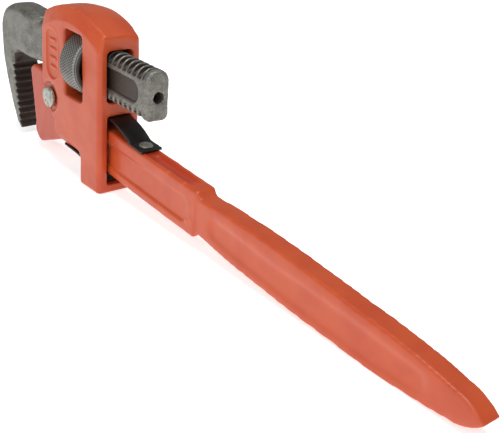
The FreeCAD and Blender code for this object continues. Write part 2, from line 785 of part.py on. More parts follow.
def revolve(body, sketch, axis):
    """Turn a sketch a full turn about one of its own axes."""
    feature = body.newObject("PartDesign::Revolution", f"{sketch.Name}_turned")
    feature.Profile = sketch
    feature.ReferenceAxis = (sketch, [axis])
    feature.Angle = 360
    settle(body, feature, 0.0, 1)
    return feature


def build_pin(doc, s):
    body = new_body(doc, "pivot_pin")
    seat = s.housing_width / 2 - s.spotface_depth
    top = seat + s.pin_head_height
    rim = seat + s.pin_rim_height
    dome = s.pin_head_radius - s.pin_rim_slope
    profile = outline(
        sketch_on(body, "pin_profile", "YZ_Plane", -s.pin_ahead, lift=s.pin_height),
        [
            (-top, 0),
            (top, 0),
            (rim + s.pin_rim_slope, dome),
            (rim, s.pin_head_radius),
            (seat, s.pin_head_radius),
            (seat, s.pin_radius),
            (-seat, s.pin_radius),
            (-seat, s.pin_head_radius),
            (-rim, s.pin_head_radius),
            (-rim - s.pin_rim_slope, dome),
        ],
    )
    revolve(body, profile, "H_Axis")
    place(body, frame_shift(s), 0)
    return body


def place_on_handle(body, s):
    """Put a piece drawn in the handle frame at the pin, with the handle's droop."""
    place(body, frame_shift(s) - s.pin_ahead, s.pin_height, s.handle_droop)


def build_handle(doc, s):
    body = new_body(doc, "handle_bar")
    top, low = s.bar_height / 2 - s.bar_drop, -s.bar_height / 2 - s.bar_drop
    bar = rectangle(sketch_on(body, "bar_side", "XZ_Plane"), 0, s.bar_reach, low, top)
    extrude(body, "Pad", bar, s.bar_width, symmetric=True)

    neck, belly, end = s.grip_neck / 2, s.grip_belly / 2, s.grip_end / 2
    start = s.bar_reach + s.step_length
    deep = s.bar_reach + s.belly_behind
    taper = s.handle_reach - s.taper_length
    shoulder = s.handle_reach - s.nose_length
    collar, collar_top = s.bar_reach - s.collar_length, s.bar_height / 2 - s.collar_drop
    lip = s.bar_reach - s.collar_lip
    grip = outline(
        sketch_on(body, "grip_side", "XZ_Plane", lift=-s.bar_drop),
        [
            (start, -neck),
            (deep, -belly - s.belly_sag, s.neck_under_round),
            (taper, -belly - s.taper_sag, s.long_round),
            (shoulder, -end - s.nose_sag, s.taper_round),
            (s.handle_reach, -s.tip_drop, s.nose_under_round),
            (shoulder + s.nose_lag, end - s.nose_fall, s.nose_round),
            (taper, belly - s.taper_fall, s.taper_round),
            (deep, belly - s.belly_sag, s.long_round),
            (start, neck, s.neck_round),
            (lip, collar_top),
            (collar, collar_top),
            (collar, -collar_top),
            (lip, -collar_top),
        ],
    )
    extrude(body, "Pad", grip, s.grip_width, symmetric=True)

    head = outline(
        sketch_on(body, "heel_side", "XZ_Plane"),
        [
            (s.heel_root, low + s.heel_inset),
            (s.heel_root, top - s.heel_inset),
            (s.heel_crest, s.heel_rise),
            (-s.heel_ahead + s.heel_round, s.heel_rise),
            (-s.heel_ahead, s.heel_shoulder, s.heel_round),
            *teeth(
                (-s.heel_ahead, s.heel_shoulder),
                (-s.heel_ahead + s.heel_rake,
                 s.heel_shoulder - s.tooth_pitch * (s.tooth_count - 2)),
                s.tooth_count - 2, s.tooth_depth,
            )[1:],
            (-s.heel_ahead + s.heel_rake, -s.heel_drop + s.heel_round),
            (-s.heel_ahead + s.heel_rake + s.heel_round, -s.heel_drop, s.heel_round),
            (s.heel_sole, low + s.heel_inset),
        ],
    )
    extrude(body, "Pad", head, s.heel_width, symmetric=True)
    hole = circle(
        sketch_on(body, "pivot_hole", "XZ_Plane"), 0, 0, s.pin_radius + s.pin_play
    )
    extrude(body, "Pocket", hole, s.heel_width * 2, symmetric=True)

    dress(
        body, "Fillet", "bar_edges",
        lambda p, t, e: near(abs(p.y), s.bar_width.number / 2) and abs(t.x) > 0.99
        and s.heel_root.number < p.x < s.bar_reach.number,
        s.bar_round,
    )
    both_cheeks(
        body, "bar_panel",
        lambda sketch: rounded(
            sketch, s.pin_ahead - s.leg_length, s.bar_reach - s.bar_panel_margin,
            low + s.bar_flange - s.bar_panel_spread, top - s.bar_flange - s.bar_panel_tuck,
            s.bar_panel_round,
        ),
        s.bar_width / 2, s.rib_depth,
    )
    first, last = start + s.panel_start, shoulder - s.panel_short
    both_cheeks(
        body, "grip_panel",
        lambda sketch: outline(
            sketch,
            [
                (first, -s.bar_drop - neck + s.panel_low_edge, s.panel_front_round),
                (taper - s.panel_lag, -s.bar_drop - belly + s.panel_mid_edge, s.long_round),
                (last, -s.bar_drop - end - s.panel_sag, s.panel_rear_curve),
                (last, -s.bar_drop + end - s.panel_rear_edge, s.panel_rear_round),
                (deep, -s.bar_drop + belly - s.panel_deep_edge, s.long_round),
                (first, -s.bar_drop + neck - s.panel_top_edge, s.neck_round),
            ],
        ),
        s.grip_width / 2, s.rib_depth,
    )
    groove = s.channel_width / 2
    channel = rounded(
        sketch_on(body, "top_channel", "XY_Plane", top),
        s.top_spring_end + s.channel_gap, s.bar_reach - s.channel_margin,
        -groove, groove, groove * 0.9,
    )
    extrude(body, "Pocket", channel, s.rib_depth)
    for name, distance in (
        ("top_rivet_hole", s.top_spring_end - s.rivet_inset),
        ("low_rivet_hole", s.low_spring_front + s.rivet_inset),
    ):
        upper = name.startswith("top")
        sketch = circle(
            sketch_on(body, name, "XY_Plane", top if upper else low), distance, 0, s.rivet_radius
        )
        extrude(body, "Pocket", sketch, s.rivet_length, reverse=not upper)
    place_on_handle(body, s)
    return body


def leaf_corners(start, flat_end, contact, stop, seat, reach, thickness, side):
    """Outline of a leaf spring: a riveted flat, a bowed leaf and a short level end.

    seat is the height of the bar's face, reach the height of the leaf's far face where it
    touches the housing, and side is +1 above the bar or -1 below it.
    """
    run, rise = contact - flat_end, (reach - seat - thickness * side) * side
    bow = (run * run + rise * rise) / (2 * rise)
    level = reach - thickness * side
    tuck = thickness * side * LEVEL_END
    return [
        (start, seat),
        (flat_end, seat),
        (contact, level, bow * side),
        (stop, level - tuck),
        (stop, reach - tuck),
        (contact, reach),
        (flat_end, seat + thickness * side, -bow * side),
        (start, seat + thickness * side),
    ]


def build_top_spring(doc, s):
    body = new_body(doc, "upper_leaf_spring")
    seat = s.bar_height / 2 - s.bar_drop
    bridge = s.shank_axis - s.shank_height / 2 - s.shank_gap - s.bridge_height - s.pin_height
    # The bridge's underside is level with the shank, so in the handle frame it slopes.
    under = bridge / cosine(s.handle_droop) + s.top_spring_contact * (
        sine(s.handle_droop) / cosine(s.handle_droop)
    )
    leaf = outline(
        sketch_on(body, "upper_leaf_side", "XZ_Plane"),
        leaf_corners(
            s.top_spring_end, s.top_spring_end - s.top_spring_flat, s.top_spring_contact,
            s.top_spring_front, seat, under - s.top_spring_gap, s.spring_thickness, 1,
        ),
    )
    extrude(body, "Pad", leaf, s.spring_width, symmetric=True)
    hole = circle(
        sketch_on(body, "upper_leaf_hole", "XY_Plane", seat + s.spring_thickness),
        s.top_spring_end - s.rivet_inset, 0, s.rivet_radius,
    )
    extrude(body, "Pocket", hole, s.spring_thickness)
    place_on_handle(body, s)
    return body


def build_low_spring(doc, s):
    body = new_body(doc, "lower_leaf_spring")
    seat = -s.bar_height / 2 - s.bar_drop
    floor = (s.slot_floor - s.pin_height) / cosine(s.handle_droop) + s.low_spring_contact * (
        sine(s.handle_droop) / cosine(s.handle_droop)
    )
    leaf = outline(
        sketch_on(body, "lower_leaf_side", "XZ_Plane"),
        leaf_corners(
            s.low_spring_front, s.low_spring_front + s.low_spring_flat, s.low_spring_contact,
            s.low_spring_contact + s.low_spring_toe, seat, floor + s.low_spring_gap,
            s.spring_thickness, -1,
        ),
    )
    extrude(body, "Pad", leaf, s.spring_width, symmetric=True)
    hole = circle(
        sketch_on(body, "lower_leaf_hole", "XY_Plane", seat - s.spring_thickness),
        s.low_spring_front + s.rivet_inset, 0, s.rivet_radius,
    )
    extrude(body, "Pocket", hole, s.spring_thickness, reverse=True)
    place_on_handle(body, s)
    return body


def build_rivet(doc, s, name, distance, seat, side):
    """A round-headed rivet through a leaf spring; side is +1 with its head up, -1 down."""
    body = new_body(doc, name)
    rim = s.spring_thickness + s.rivet_rim
    profile = outline(
        sketch_on(body, f"{name}_profile", "XZ_Plane", shift=distance, lift=seat),
        [
            (0, -s.rivet_length * side),
            (s.rivet_radius, -s.rivet_length * side),
            (s.rivet_radius, s.spring_thickness * side),
            (s.rivet_head_radius, s.spring_thickness * side),
            (s.rivet_head_radius, rim * side),
            (0, (s.spring_thickness + s.rivet_head_height) * side, s.rivet_dome * side),
        ],
    )
    revolve(body, profile, "V_Axis")
    place_on_handle(body, s)
    return body


def build_rivets(doc, s):
    top, low = s.bar_height / 2 - s.bar_drop, -s.bar_height / 2 - s.bar_drop
    return [
        build_rivet(
            doc, s, "upper_spring_rivet", s.top_spring_end - s.rivet_inset, top, 1
        ),
        build_rivet(
            doc, s, "lower_spring_rivet", s.low_spring_front + s.rivet_inset, low, -1
        ),
    ]


def check(doc, bodies):
    """Stop unless every object computed and every piece is one valid closed solid."""
    for item in doc.Objects:
        if "Invalid" in item.State or "Error" in item.State:
            raise RuntimeError(f"{item.Label} did not compute: {item.State}")
    for body in bodies:
        shape = body.Shape
        if shape.isNull() or not shape.isValid() or len(shape.Solids) != 1:
            raise RuntimeError(f"{body.Label} is not one valid solid")


def main():
    doc = FreeCAD.newDocument("PipeWrench")
    sizes = Sizes(doc)
    builders = (
        build_housing, build_pin, build_hook, build_nut, build_handle,
        build_top_spring, build_low_spring,
    )
    bodies = [build(doc, sizes) for build in builders] + build_rivets(doc, sizes)
    doc.recompute()
    check(doc, bodies)
    os.makedirs("parts", exist_ok=True)
    for body in bodies:
        body.Shape.exportStep(f"parts/{body.Label}.step")
        print(f"{body.Label}: {body.Shape.Volume / 1000:.2f} cm3")


main()
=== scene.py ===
"""A pipe wrench with an adjustable hook jaw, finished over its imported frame.

Lengths inside the classes are millimetres in the housing's own frame: x runs from
the housing's rear face towards the handle's tip, y along the pivot pin, and z up
from the surface that the wrench stands on. ``MeshWork`` holds its points in that
frame and writes them out in metres in the row frame.
"""

import logging
import math
from collections.abc import Sequence
from dataclasses import dataclass, field
from enum import Enum

import bmesh
import bpy
import numpy as np
from mathutils import Matrix, Vector
from mathutils.kdtree import KDTree


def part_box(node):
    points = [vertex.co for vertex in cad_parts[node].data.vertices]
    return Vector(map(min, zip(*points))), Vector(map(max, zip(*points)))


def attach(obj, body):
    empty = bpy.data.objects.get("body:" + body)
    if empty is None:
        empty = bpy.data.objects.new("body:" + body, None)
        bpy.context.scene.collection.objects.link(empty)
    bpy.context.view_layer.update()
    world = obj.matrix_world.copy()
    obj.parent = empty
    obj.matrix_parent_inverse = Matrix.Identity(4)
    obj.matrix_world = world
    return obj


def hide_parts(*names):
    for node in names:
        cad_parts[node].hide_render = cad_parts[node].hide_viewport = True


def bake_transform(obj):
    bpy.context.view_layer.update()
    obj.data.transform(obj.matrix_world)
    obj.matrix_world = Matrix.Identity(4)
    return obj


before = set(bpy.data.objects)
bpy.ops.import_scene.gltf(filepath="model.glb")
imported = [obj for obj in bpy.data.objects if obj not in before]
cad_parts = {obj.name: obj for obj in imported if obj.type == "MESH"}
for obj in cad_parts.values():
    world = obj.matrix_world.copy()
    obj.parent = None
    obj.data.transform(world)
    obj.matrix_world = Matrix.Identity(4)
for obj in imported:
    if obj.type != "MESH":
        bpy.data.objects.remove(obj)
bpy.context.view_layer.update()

log = logging.getLogger("pipe_wrench")

MM = 0.001
TURN = 2 * math.pi
REAR_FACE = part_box("housing_frame")[1].x / MM  # where the housing's own x is 0
ORIGIN = np.array([REAR_FACE, 0.0, 0.0])
PIN = (-59.5, 43.6)  # x and z of the pivot pin
SCREW_HEIGHT = 71.9  # z of the shank's and the nut's axis

Colour = tuple[float, float, float]
Points = np.ndarray


class Slot(Enum):
    """The record's material slots."""

    PAINT = "paint"
    FORGED = "forged_steel"
    KNURLED = "knurled_steel"
    PLATED = "plated_steel"
    SPRING = "spring_steel"


class Body(Enum):
    """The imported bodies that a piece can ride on."""

    HANDLE = "handle"
    HOUSING = "housing"
    HOOK = "hook"
    NUT = "nut"


class Mark(Enum):
    """Per-point masks that the meshes hand to the finishes."""

    EDGE = "edge"  # above 0 on a convex edge, below 0 in a hollow
    SHADE = "shade"  # 0 where steel is rubbed bright, 1 where dark: thread grooves, between knurl points, and painted shade on the teeth, the nut's flat faces, the bar's trough and the heel


# ---------------------------------------------------------------- shader maths


class Signal:
    """A shader value to reckon with. It wraps one output socket."""

    def __init__(self, tree: "ShaderTree", socket: bpy.types.NodeSocket) -> None:
        """Wrap a socket.

        Args:
            tree: the tree that the socket belongs to.
            socket: the output to wrap.
        """
        self.tree = tree
        self.socket = socket

    def _math(self, operation: str, first: "Operand", second: "Operand") -> "Signal":
        """Add one Math node.

        Args:
            operation: the node's operation.
            first: value or link of its first socket.
            second: value or link of its second socket.

        Returns:
            The node's result.
        """
        return self.tree.node(
            "ShaderNodeMath", {"operation": operation}, {0: first, 1: second}
        )

    def __add__(self, other: "Operand") -> "Signal":
        """Return self + other."""
        return self._math("ADD", self, other)

    def __radd__(self, other: "Operand") -> "Signal":
        """Return other + self."""
        return self._math("ADD", other, self)

    def __sub__(self, other: "Operand") -> "Signal":
        """Return self - other."""
        return self._math("SUBTRACT", self, other)

    def __rsub__(self, other: "Operand") -> "Signal":
        """Return other - self."""
        return self._math("SUBTRACT", other, self)

    def __mul__(self, other: "Operand") -> "Signal":
        """Return self * other."""
        return self._math("MULTIPLY", self, other)

    def __rmul__(self, other: "Operand") -> "Signal":
        """Return other * self."""
        return self._math("MULTIPLY", other, self)

    def __neg__(self) -> "Signal":
        """Return -self."""
        return self._math("MULTIPLY", self, -1.0)

    def between(self, low: float, high: float) -> "Signal":
        """Map low..high smoothly onto 0..1.

        Args:
            low: the value that gives 0.
            high: the value that gives 1; below low, the map falls.

        Returns:
            The mapped value, held to 0..1.
        """
        return self.tree.node(
            "ShaderNodeMapRange",
            {"interpolation_type": "SMOOTHSTEP"},
            {"Value": self, "From Min": low, "From Max": high},
        )


Operand = Signal | float


class ShaderTree:
    """One material's node tree, ending in a Principled shader."""

    def __init__(self, name: str) -> None:
        """Start an empty tree.

        Args:
            name: the material's name.
        """
        self.material = bpy.data.materials.new(name)
        self.material.use_nodes = True
        self.nodes = self.material.node_tree.nodes
        self.links = self.material.node_tree.links
        self.nodes.clear()
        self.place = self._place_in_millimetres()

    def node(
        self,
        kind: str,
        settings: dict[str, object] | None = None,
        values: dict[str | int, object] | None = None,
        output: str | int = 0,
    ) -> Signal:
        """Add any node.

        Args:
            kind: the node's type.
            settings: its own properties, set first.
            values: numbers, colours or links for its sockets.
            output: the output to hand back.

        Returns:
            The chosen output.
        """
        made = self.nodes.new(kind)
        for key, value in (settings or {}).items():
            setattr(made, key, value)
        for key, value in (values or {}).items():
            socket = made.inputs[key]
            if isinstance(value, Signal):
                self.links.new(value.socket, socket)
            elif socket.type == "RGBA" and len(value) == 3:
                socket.default_value = (*value, 1.0)
            else:
                socket.default_value = value
        return Signal(self, made.outputs[output])

    def _place_in_millimetres(self) -> Signal:
        """Return the point on the piece, in millimetres, riding with the piece."""
        own = self.node("ShaderNodeTexCoord", output="Object")
        return self.node(
            "ShaderNodeVectorMath", {"operation": "SCALE"}, {0: own, "Scale": 1 / MM}
        )

    def stretched(self, along: Sequence[float]) -> Signal:
        """Return the place multiplied by one factor per axis.

        Args:
            along: the factors for x, y and z.
        """
        return self.node(
            "ShaderNodeVectorMath",
            {"operation": "MULTIPLY"},
            {0: self.place, 1: tuple(along)},
        )

    def noise(
        self,
        size: float,
        detail: float = 3.0,
        roughness: float = 0.5,
        place: Signal | None = None,
    ) -> Signal:
        """Add cloudy noise.

        Args:
            size: size of its features in millimetres.
            detail: how many finer layers it has.
            roughness: how strong the finer layers are.
            place: where to read it, if not at the place itself.

        Returns:
            The noise, from 0 to 1 about a half.
        """
        return self.node(
            "ShaderNodeTexNoise",
            {"noise_dimensions": "3D"},
            {
                "Vector": place or self.place,
                "Scale": 1 / size,
                "Detail": detail,
                "Roughness": roughness,
            },
        )

    def cells(self, size: float) -> Signal:
        """Return the distance to the nearest of scattered points, 0 at each.

        Args:
            size: mean distance between the points in millimetres.
        """
        return self.node(
            "ShaderNodeTexVoronoi",
            {"feature": "F1"},
            {"Vector": self.place, "Scale": 1 / size},
            output="Distance",
        )

    def mark(self, mark: Mark) -> Signal:
        """Return a mask that the mesh carries.

        Args:
            mark: which mask.
        """
        return self.node(
            "ShaderNodeAttribute",
            {"attribute_type": "GEOMETRY", "attribute_name": mark.value},
            output="Fac",
        )

    def mix(
        self, factor: Operand, low: Signal | Colour, high: Signal | Colour
    ) -> Signal:
        """Mix two colours.

        Args:
            factor: 0 gives low and 1 gives high.
            low: first colour.
            high: second colour.

        Returns:
            The mixed colour.
        """
        return self.node(
            "ShaderNodeMix",
            {"data_type": "RGBA", "clamp_factor": True},
            {"Factor": factor, 6: low, 7: high},
            output=2,
        )

    def relief(self, *layers: tuple[Operand, float]) -> Signal:
        """Stack layers of fine relief.

        Args:
            layers: each layer's height from 0 to 1, and its depth in millimetres.

        Returns:
            The bent normal.
        """
        normal: Signal | None = None
        for height, depth in layers:
            values: dict[str | int, object] = {
                "Strength": 1.0,
                "Distance": depth * MM,
                "Height": height,
            }
            if normal is not None:
                values["Normal"] = normal
            normal = self.node("ShaderNodeBump", None, values)
        return normal

    def shade(self, sockets: dict[str, object]) -> bpy.types.Material:
        """End the tree in its shader.

        Args:
            sockets: values or links of the shader's sockets, by name.

        Returns:
            The finished material.
        """
        shader = self.node("ShaderNodeBsdfPrincipled", None, sockets)
        end = self.nodes.new("ShaderNodeOutputMaterial")
        self.links.new(shader.socket, end.inputs["Surface"])
        return self.material


# ------------------------------------------------------------------- finishes


@dataclass(frozen=True)
class Enamel:
    """Satin orange enamel, dipped over a forging or casting, with painted shade in its
    hollows and where the shade mark is set, and a painted highlight on its edges.
    """

    name: str = "orange_enamel"
    body: Colour = (0.510, 0.074, 0.018)
    # deeper tone of pooling enamel, also used for painted shade
    thick_and_shade: Colour = (0.400, 0.034, 0.008)
    # lighter tone for edges where the enamel runs thinner, also used as a painted
    # highlight
    thin_and_highlight: Colour = (0.720, 0.200, 0.100)
    roughness: float = 0.38
    coat: float = 0.22

    def make(self) -> bpy.types.Material:
        """Return the finish as a material."""
        tree = ShaderTree(self.name)
        edge = tree.mark(Mark.EDGE)
        flow = tree.noise(16.0, 2.0)
        mottle = tree.noise(3.0, 4.0, 0.6)
        # painted shade in hollows, and a painted highlight on convex edges
        hollow = (-edge).between(0.12, 0.9)
        ridge_highlight = (edge + (mottle - 0.5) * 0.25).between(0.25, 1.0)
        pooling_and_shade = tree.mix(flow.between(0.35, 0.7) * 0.35, self.body, self.thick_and_shade)
        # painted shade: darker in hollows and where the shade mark is set
        pooling_and_shade = tree.mix(hollow * 0.5, pooling_and_shade, self.thick_and_shade)
        pooling_and_shade = tree.mix(tree.mark(Mark.SHADE) * 0.9, pooling_and_shade, self.thick_and_shade)
        # painted highlight on convex edges
        colour = tree.mix(ridge_highlight * 0.6, pooling_and_shade, self.thin_and_highlight)
        dust = tree.cells(5.0).between(0.055, 0.03) * mottle.between(0.5, 0.62)
        colour = tree.mix(dust * 0.5, colour, (0.30, 0.05, 0.02))
        rough = self.roughness + (mottle - 0.5) * 0.16 + flow * 0.06
        peel = tree.noise(1.1, 2.0)
        return tree.shade(
            {
                "Base Color": colour,
                "Roughness": rough,
                "Coat Weight": self.coat,
                "Coat Roughness": 0.16,
                "Specular IOR Level": 0.32,
                "Normal": tree.relief((flow, 0.20), (mottle, 0.05), (peel, 0.012)),
            }
        )


@dataclass(frozen=True)
class ForgedSteel:
    """Hardened forged steel: dull scale, darker thread grooves and side panel, painted
    shade over the teeth and in the jaw's mouth, and rubbed ridges.
    """

    name: str = "forged_grey_steel"
    bright: Colour = (0.185, 0.180, 0.160)
    scale: Colour = (0.092, 0.088, 0.074)
    # darkest tone, for the thread's grooves and side panel, and painted shade over the
    # teeth
    groove_tone_and_shade: Colour = (0.034, 0.022, 0.016)

    def make(self) -> bpy.types.Material:
        """Return the finish as a material."""
        tree = ShaderTree(self.name)
        edge, shade = tree.mark(Mark.EDGE), tree.mark(Mark.SHADE)
        cloud = tree.noise(7.0, 5.0, 0.62)
        grain = tree.noise(0.55, 4.0, 0.7)
        pits = tree.cells(1.3).between(0.30, 0.05) * grain.between(0.45, 0.62)
        colour = tree.mix(cloud.between(0.32, 0.68), self.scale, self.bright)
        colour = tree.mix(grain.between(0.45, 0.72) * 0.5, colour, (0.44, 0.43, 0.39))
        # darkened where the shade mark is set: grooves, side panel, and painted shade
        # over the teeth and mouth
        darkened_and_shaded = (shade + (cloud - 0.5) * 0.35 + (grain - 0.5) * 0.25).between(0.2, 0.8)
        colour = tree.mix(darkened_and_shaded * 0.93, colour, self.groove_tone_and_shade)
        rubbed = (edge + (grain - 0.5) * 0.4).between(0.2, 0.9) * (1.0 - darkened_and_shaded * 0.6)
        colour = tree.mix(rubbed * 0.6, colour, (0.52, 0.51, 0.48))
        colour = tree.mix(pits * 0.6, colour, (0.06, 0.052, 0.045))
        return tree.shade(
            {
                "Base Color": colour,
                "Metallic": 0.55 + rubbed * 0.3,
                "Roughness": 0.46 - rubbed * 0.14 + (cloud - 0.5) * 0.2,
                "Normal": tree.relief((cloud, 0.14), (grain, 0.09), (1.0 - pits, 0.14)),
            }
        )


@dataclass(frozen=True)
class KnurledSteel:
    """Turned and knurled steel, bright on the points and dark between them, with painted
    shade on the flat faces and in the bore.
    """

    name: str = "knurled_grey_steel"
    point: Colour = (0.25, 0.245, 0.23)
    # dark tone between the knurl's points, also the painted shade on the flat faces
    valley_tone_and_shade: Colour = (0.045, 0.042, 0.038)

    def make(self) -> bpy.types.Material:
        """Return the finish as a material."""
        tree = ShaderTree(self.name)
        shade = tree.mark(Mark.SHADE)
        cloud = tree.noise(5.0, 3.0)
        grain = tree.noise(0.5, 3.0, 0.6)
        turned = tree.noise(0.35, 2.0, 0.5, tree.stretched((1.0, 0.15, 0.15)))
        # dark between the knurl's points, and painted shade on the flat faces
        dark = (shade + (cloud - 0.5) * 0.3).between(0.1, 0.9)
        colour = tree.mix(dark, self.point, self.valley_tone_and_shade)
        colour = tree.mix(grain.between(0.5, 0.8) * 0.3, colour, (0.2, 0.19, 0.17))
        return tree.shade(
            {
                "Base Color": colour,
                "Metallic": 0.75 - dark * 0.3,
                "Roughness": 0.38 + dark * 0.25 + (cloud - 0.5) * 0.2,
                "Normal": tree.relief((turned, 0.02), (grain, 0.02)),
            }
        )


@dataclass(frozen=True)
class BluedSpring:
    """Hardened, oil-blackened spring strip."""

    name: str = "blued_spring_strip"
    black: Colour = (0.006, 0.005, 0.006)
    brown: Colour = (0.020, 0.014, 0.013)

    def make(self) -> bpy.types.Material:
        """Return the finish as a material."""
        tree = ShaderTree(self.name)
        edge = tree.mark(Mark.EDGE)
        cloud = tree.noise(4.0, 4.0, 0.6)
        drawn = tree.noise(0.5, 3.0, 0.6, tree.stretched((0.06, 1.0, 1.0)))
        colour = tree.mix(cloud.between(0.35, 0.75), self.black, self.brown)
        rubbed = (edge + (drawn - 0.5) * 0.8).between(0.3, 1.0)
        colour = tree.mix(rubbed * 0.35, colour, (0.11, 0.10, 0.10))
        return tree.shade(
            {
                "Base Color": colour,
                "Metallic": 0.35,
                "Roughness": 0.42 + (cloud - 0.5) * 0.25,
                "Normal": tree.relief((drawn, 0.02), (cloud, 0.03)),
            }
        )


@dataclass(frozen=True)
class DullPlate:
    """Dull plated steel, peened over and a little stained, with painted shade in its
    hollows.
    """

    name: str = "dull_plated_steel"
    light: Colour = (0.400, 0.400, 0.355)
    stain: Colour = (0.170, 0.155, 0.120)

    def make(self) -> bpy.types.Material:
        """Return the finish as a material."""
        tree = ShaderTree(self.name)
        edge = tree.mark(Mark.EDGE)
        cloud = tree.noise(2.4, 4.0, 0.65)
        grain = tree.noise(0.4, 3.0, 0.6)
        colour = tree.mix(cloud.between(0.42, 0.72), self.light, self.stain)
        # painted shade: darker in hollows
        colour = tree.mix((-edge).between(0.1, 0.8) * 0.8, colour, (0.05, 0.04, 0.03))
        colour = tree.mix(grain.between(0.6, 0.8) * 0.4, colour, (0.58, 0.58, 0.54))
        return tree.shade(
            {
                "Base Color": colour,
                "Metallic": 0.6,
                "Roughness": 0.42 + (cloud - 0.5) * 0.3,
                "Normal": tree.relief((cloud, 0.10), (grain, 0.02)),
            }
        )


@dataclass(frozen=True)
class PaleFloor:
    """The plain surface that the wrench stands on."""

    name: str = "pale_floor"
    tone: Colour = (0.93, 0.93, 0.93)
    glow: float = 0.62

    def make(self) -> bpy.types.Material:
        """Return the finish as a material."""
        tree = ShaderTree(self.name)
        return tree.shade(
            {
                "Base Color": self.tone,
                "Roughness": 0.85,
                "Specular IOR Level": 0.1,
                "Emission Color": self.tone,
                "Emission Strength": self.glow,
            }
        )


# ----------------------------------------------------------------- mesh tools


def smooth_step(value: Points, low: float, high: float) -> Points:
    """Map low..high smoothly onto 0..1.

    Args:
        value: the values to map.
        low: the value that gives 0.
        high: the value that gives 1; below low, the map falls.

    Returns:
        The mapped values, held to 0..1.
    """
    share = np.clip((value - low) / (high - low), 0.0, 1.0)
    return share * share * (3.0 - 2.0 * share)


def ripple(points: Points, size: float, seed: int, waves: int = 14) -> Points:
    """Return gentle, seeded waviness at each point, mostly within -1..1.

    Args:
        points: where to read it.
        size: length of the waves.
        seed: picks the waves.
        waves: how many plane waves are added up.
    """
    draw = np.random.default_rng(seed)
    ways = draw.normal(size=(waves, 3))
    ways /= np.linalg.norm(ways, axis=1)[:, None]
    lengths = size * draw.uniform(0.7, 1.6, waves)
    phases = draw.uniform(0, TURN, waves)
    total = np.sin(points @ (ways * (TURN / lengths)[:, None]).T + phases).sum(axis=1)
    return total * math.sqrt(2.0 / waves) * 0.5


def rounded_box_distance(
    along: Points, up: Points, half_along: float, half_up: float, corner: float
) -> Points:
    """Return the distance outside a rounded rectangle about 0, below 0 inside.

    Args:
        along: first coordinate.
        up: second coordinate.
        half_along: half its length.
        half_up: half its height.
        corner: its corners' radius.
    """
    over_a = np.abs(along) - (half_along - corner)
    over_u = np.abs(up) - (half_up - corner)
    outside = np.hypot(np.maximum(over_a, 0), np.maximum(over_u, 0))
    return outside + np.minimum(np.maximum(over_a, over_u), 0) - corner


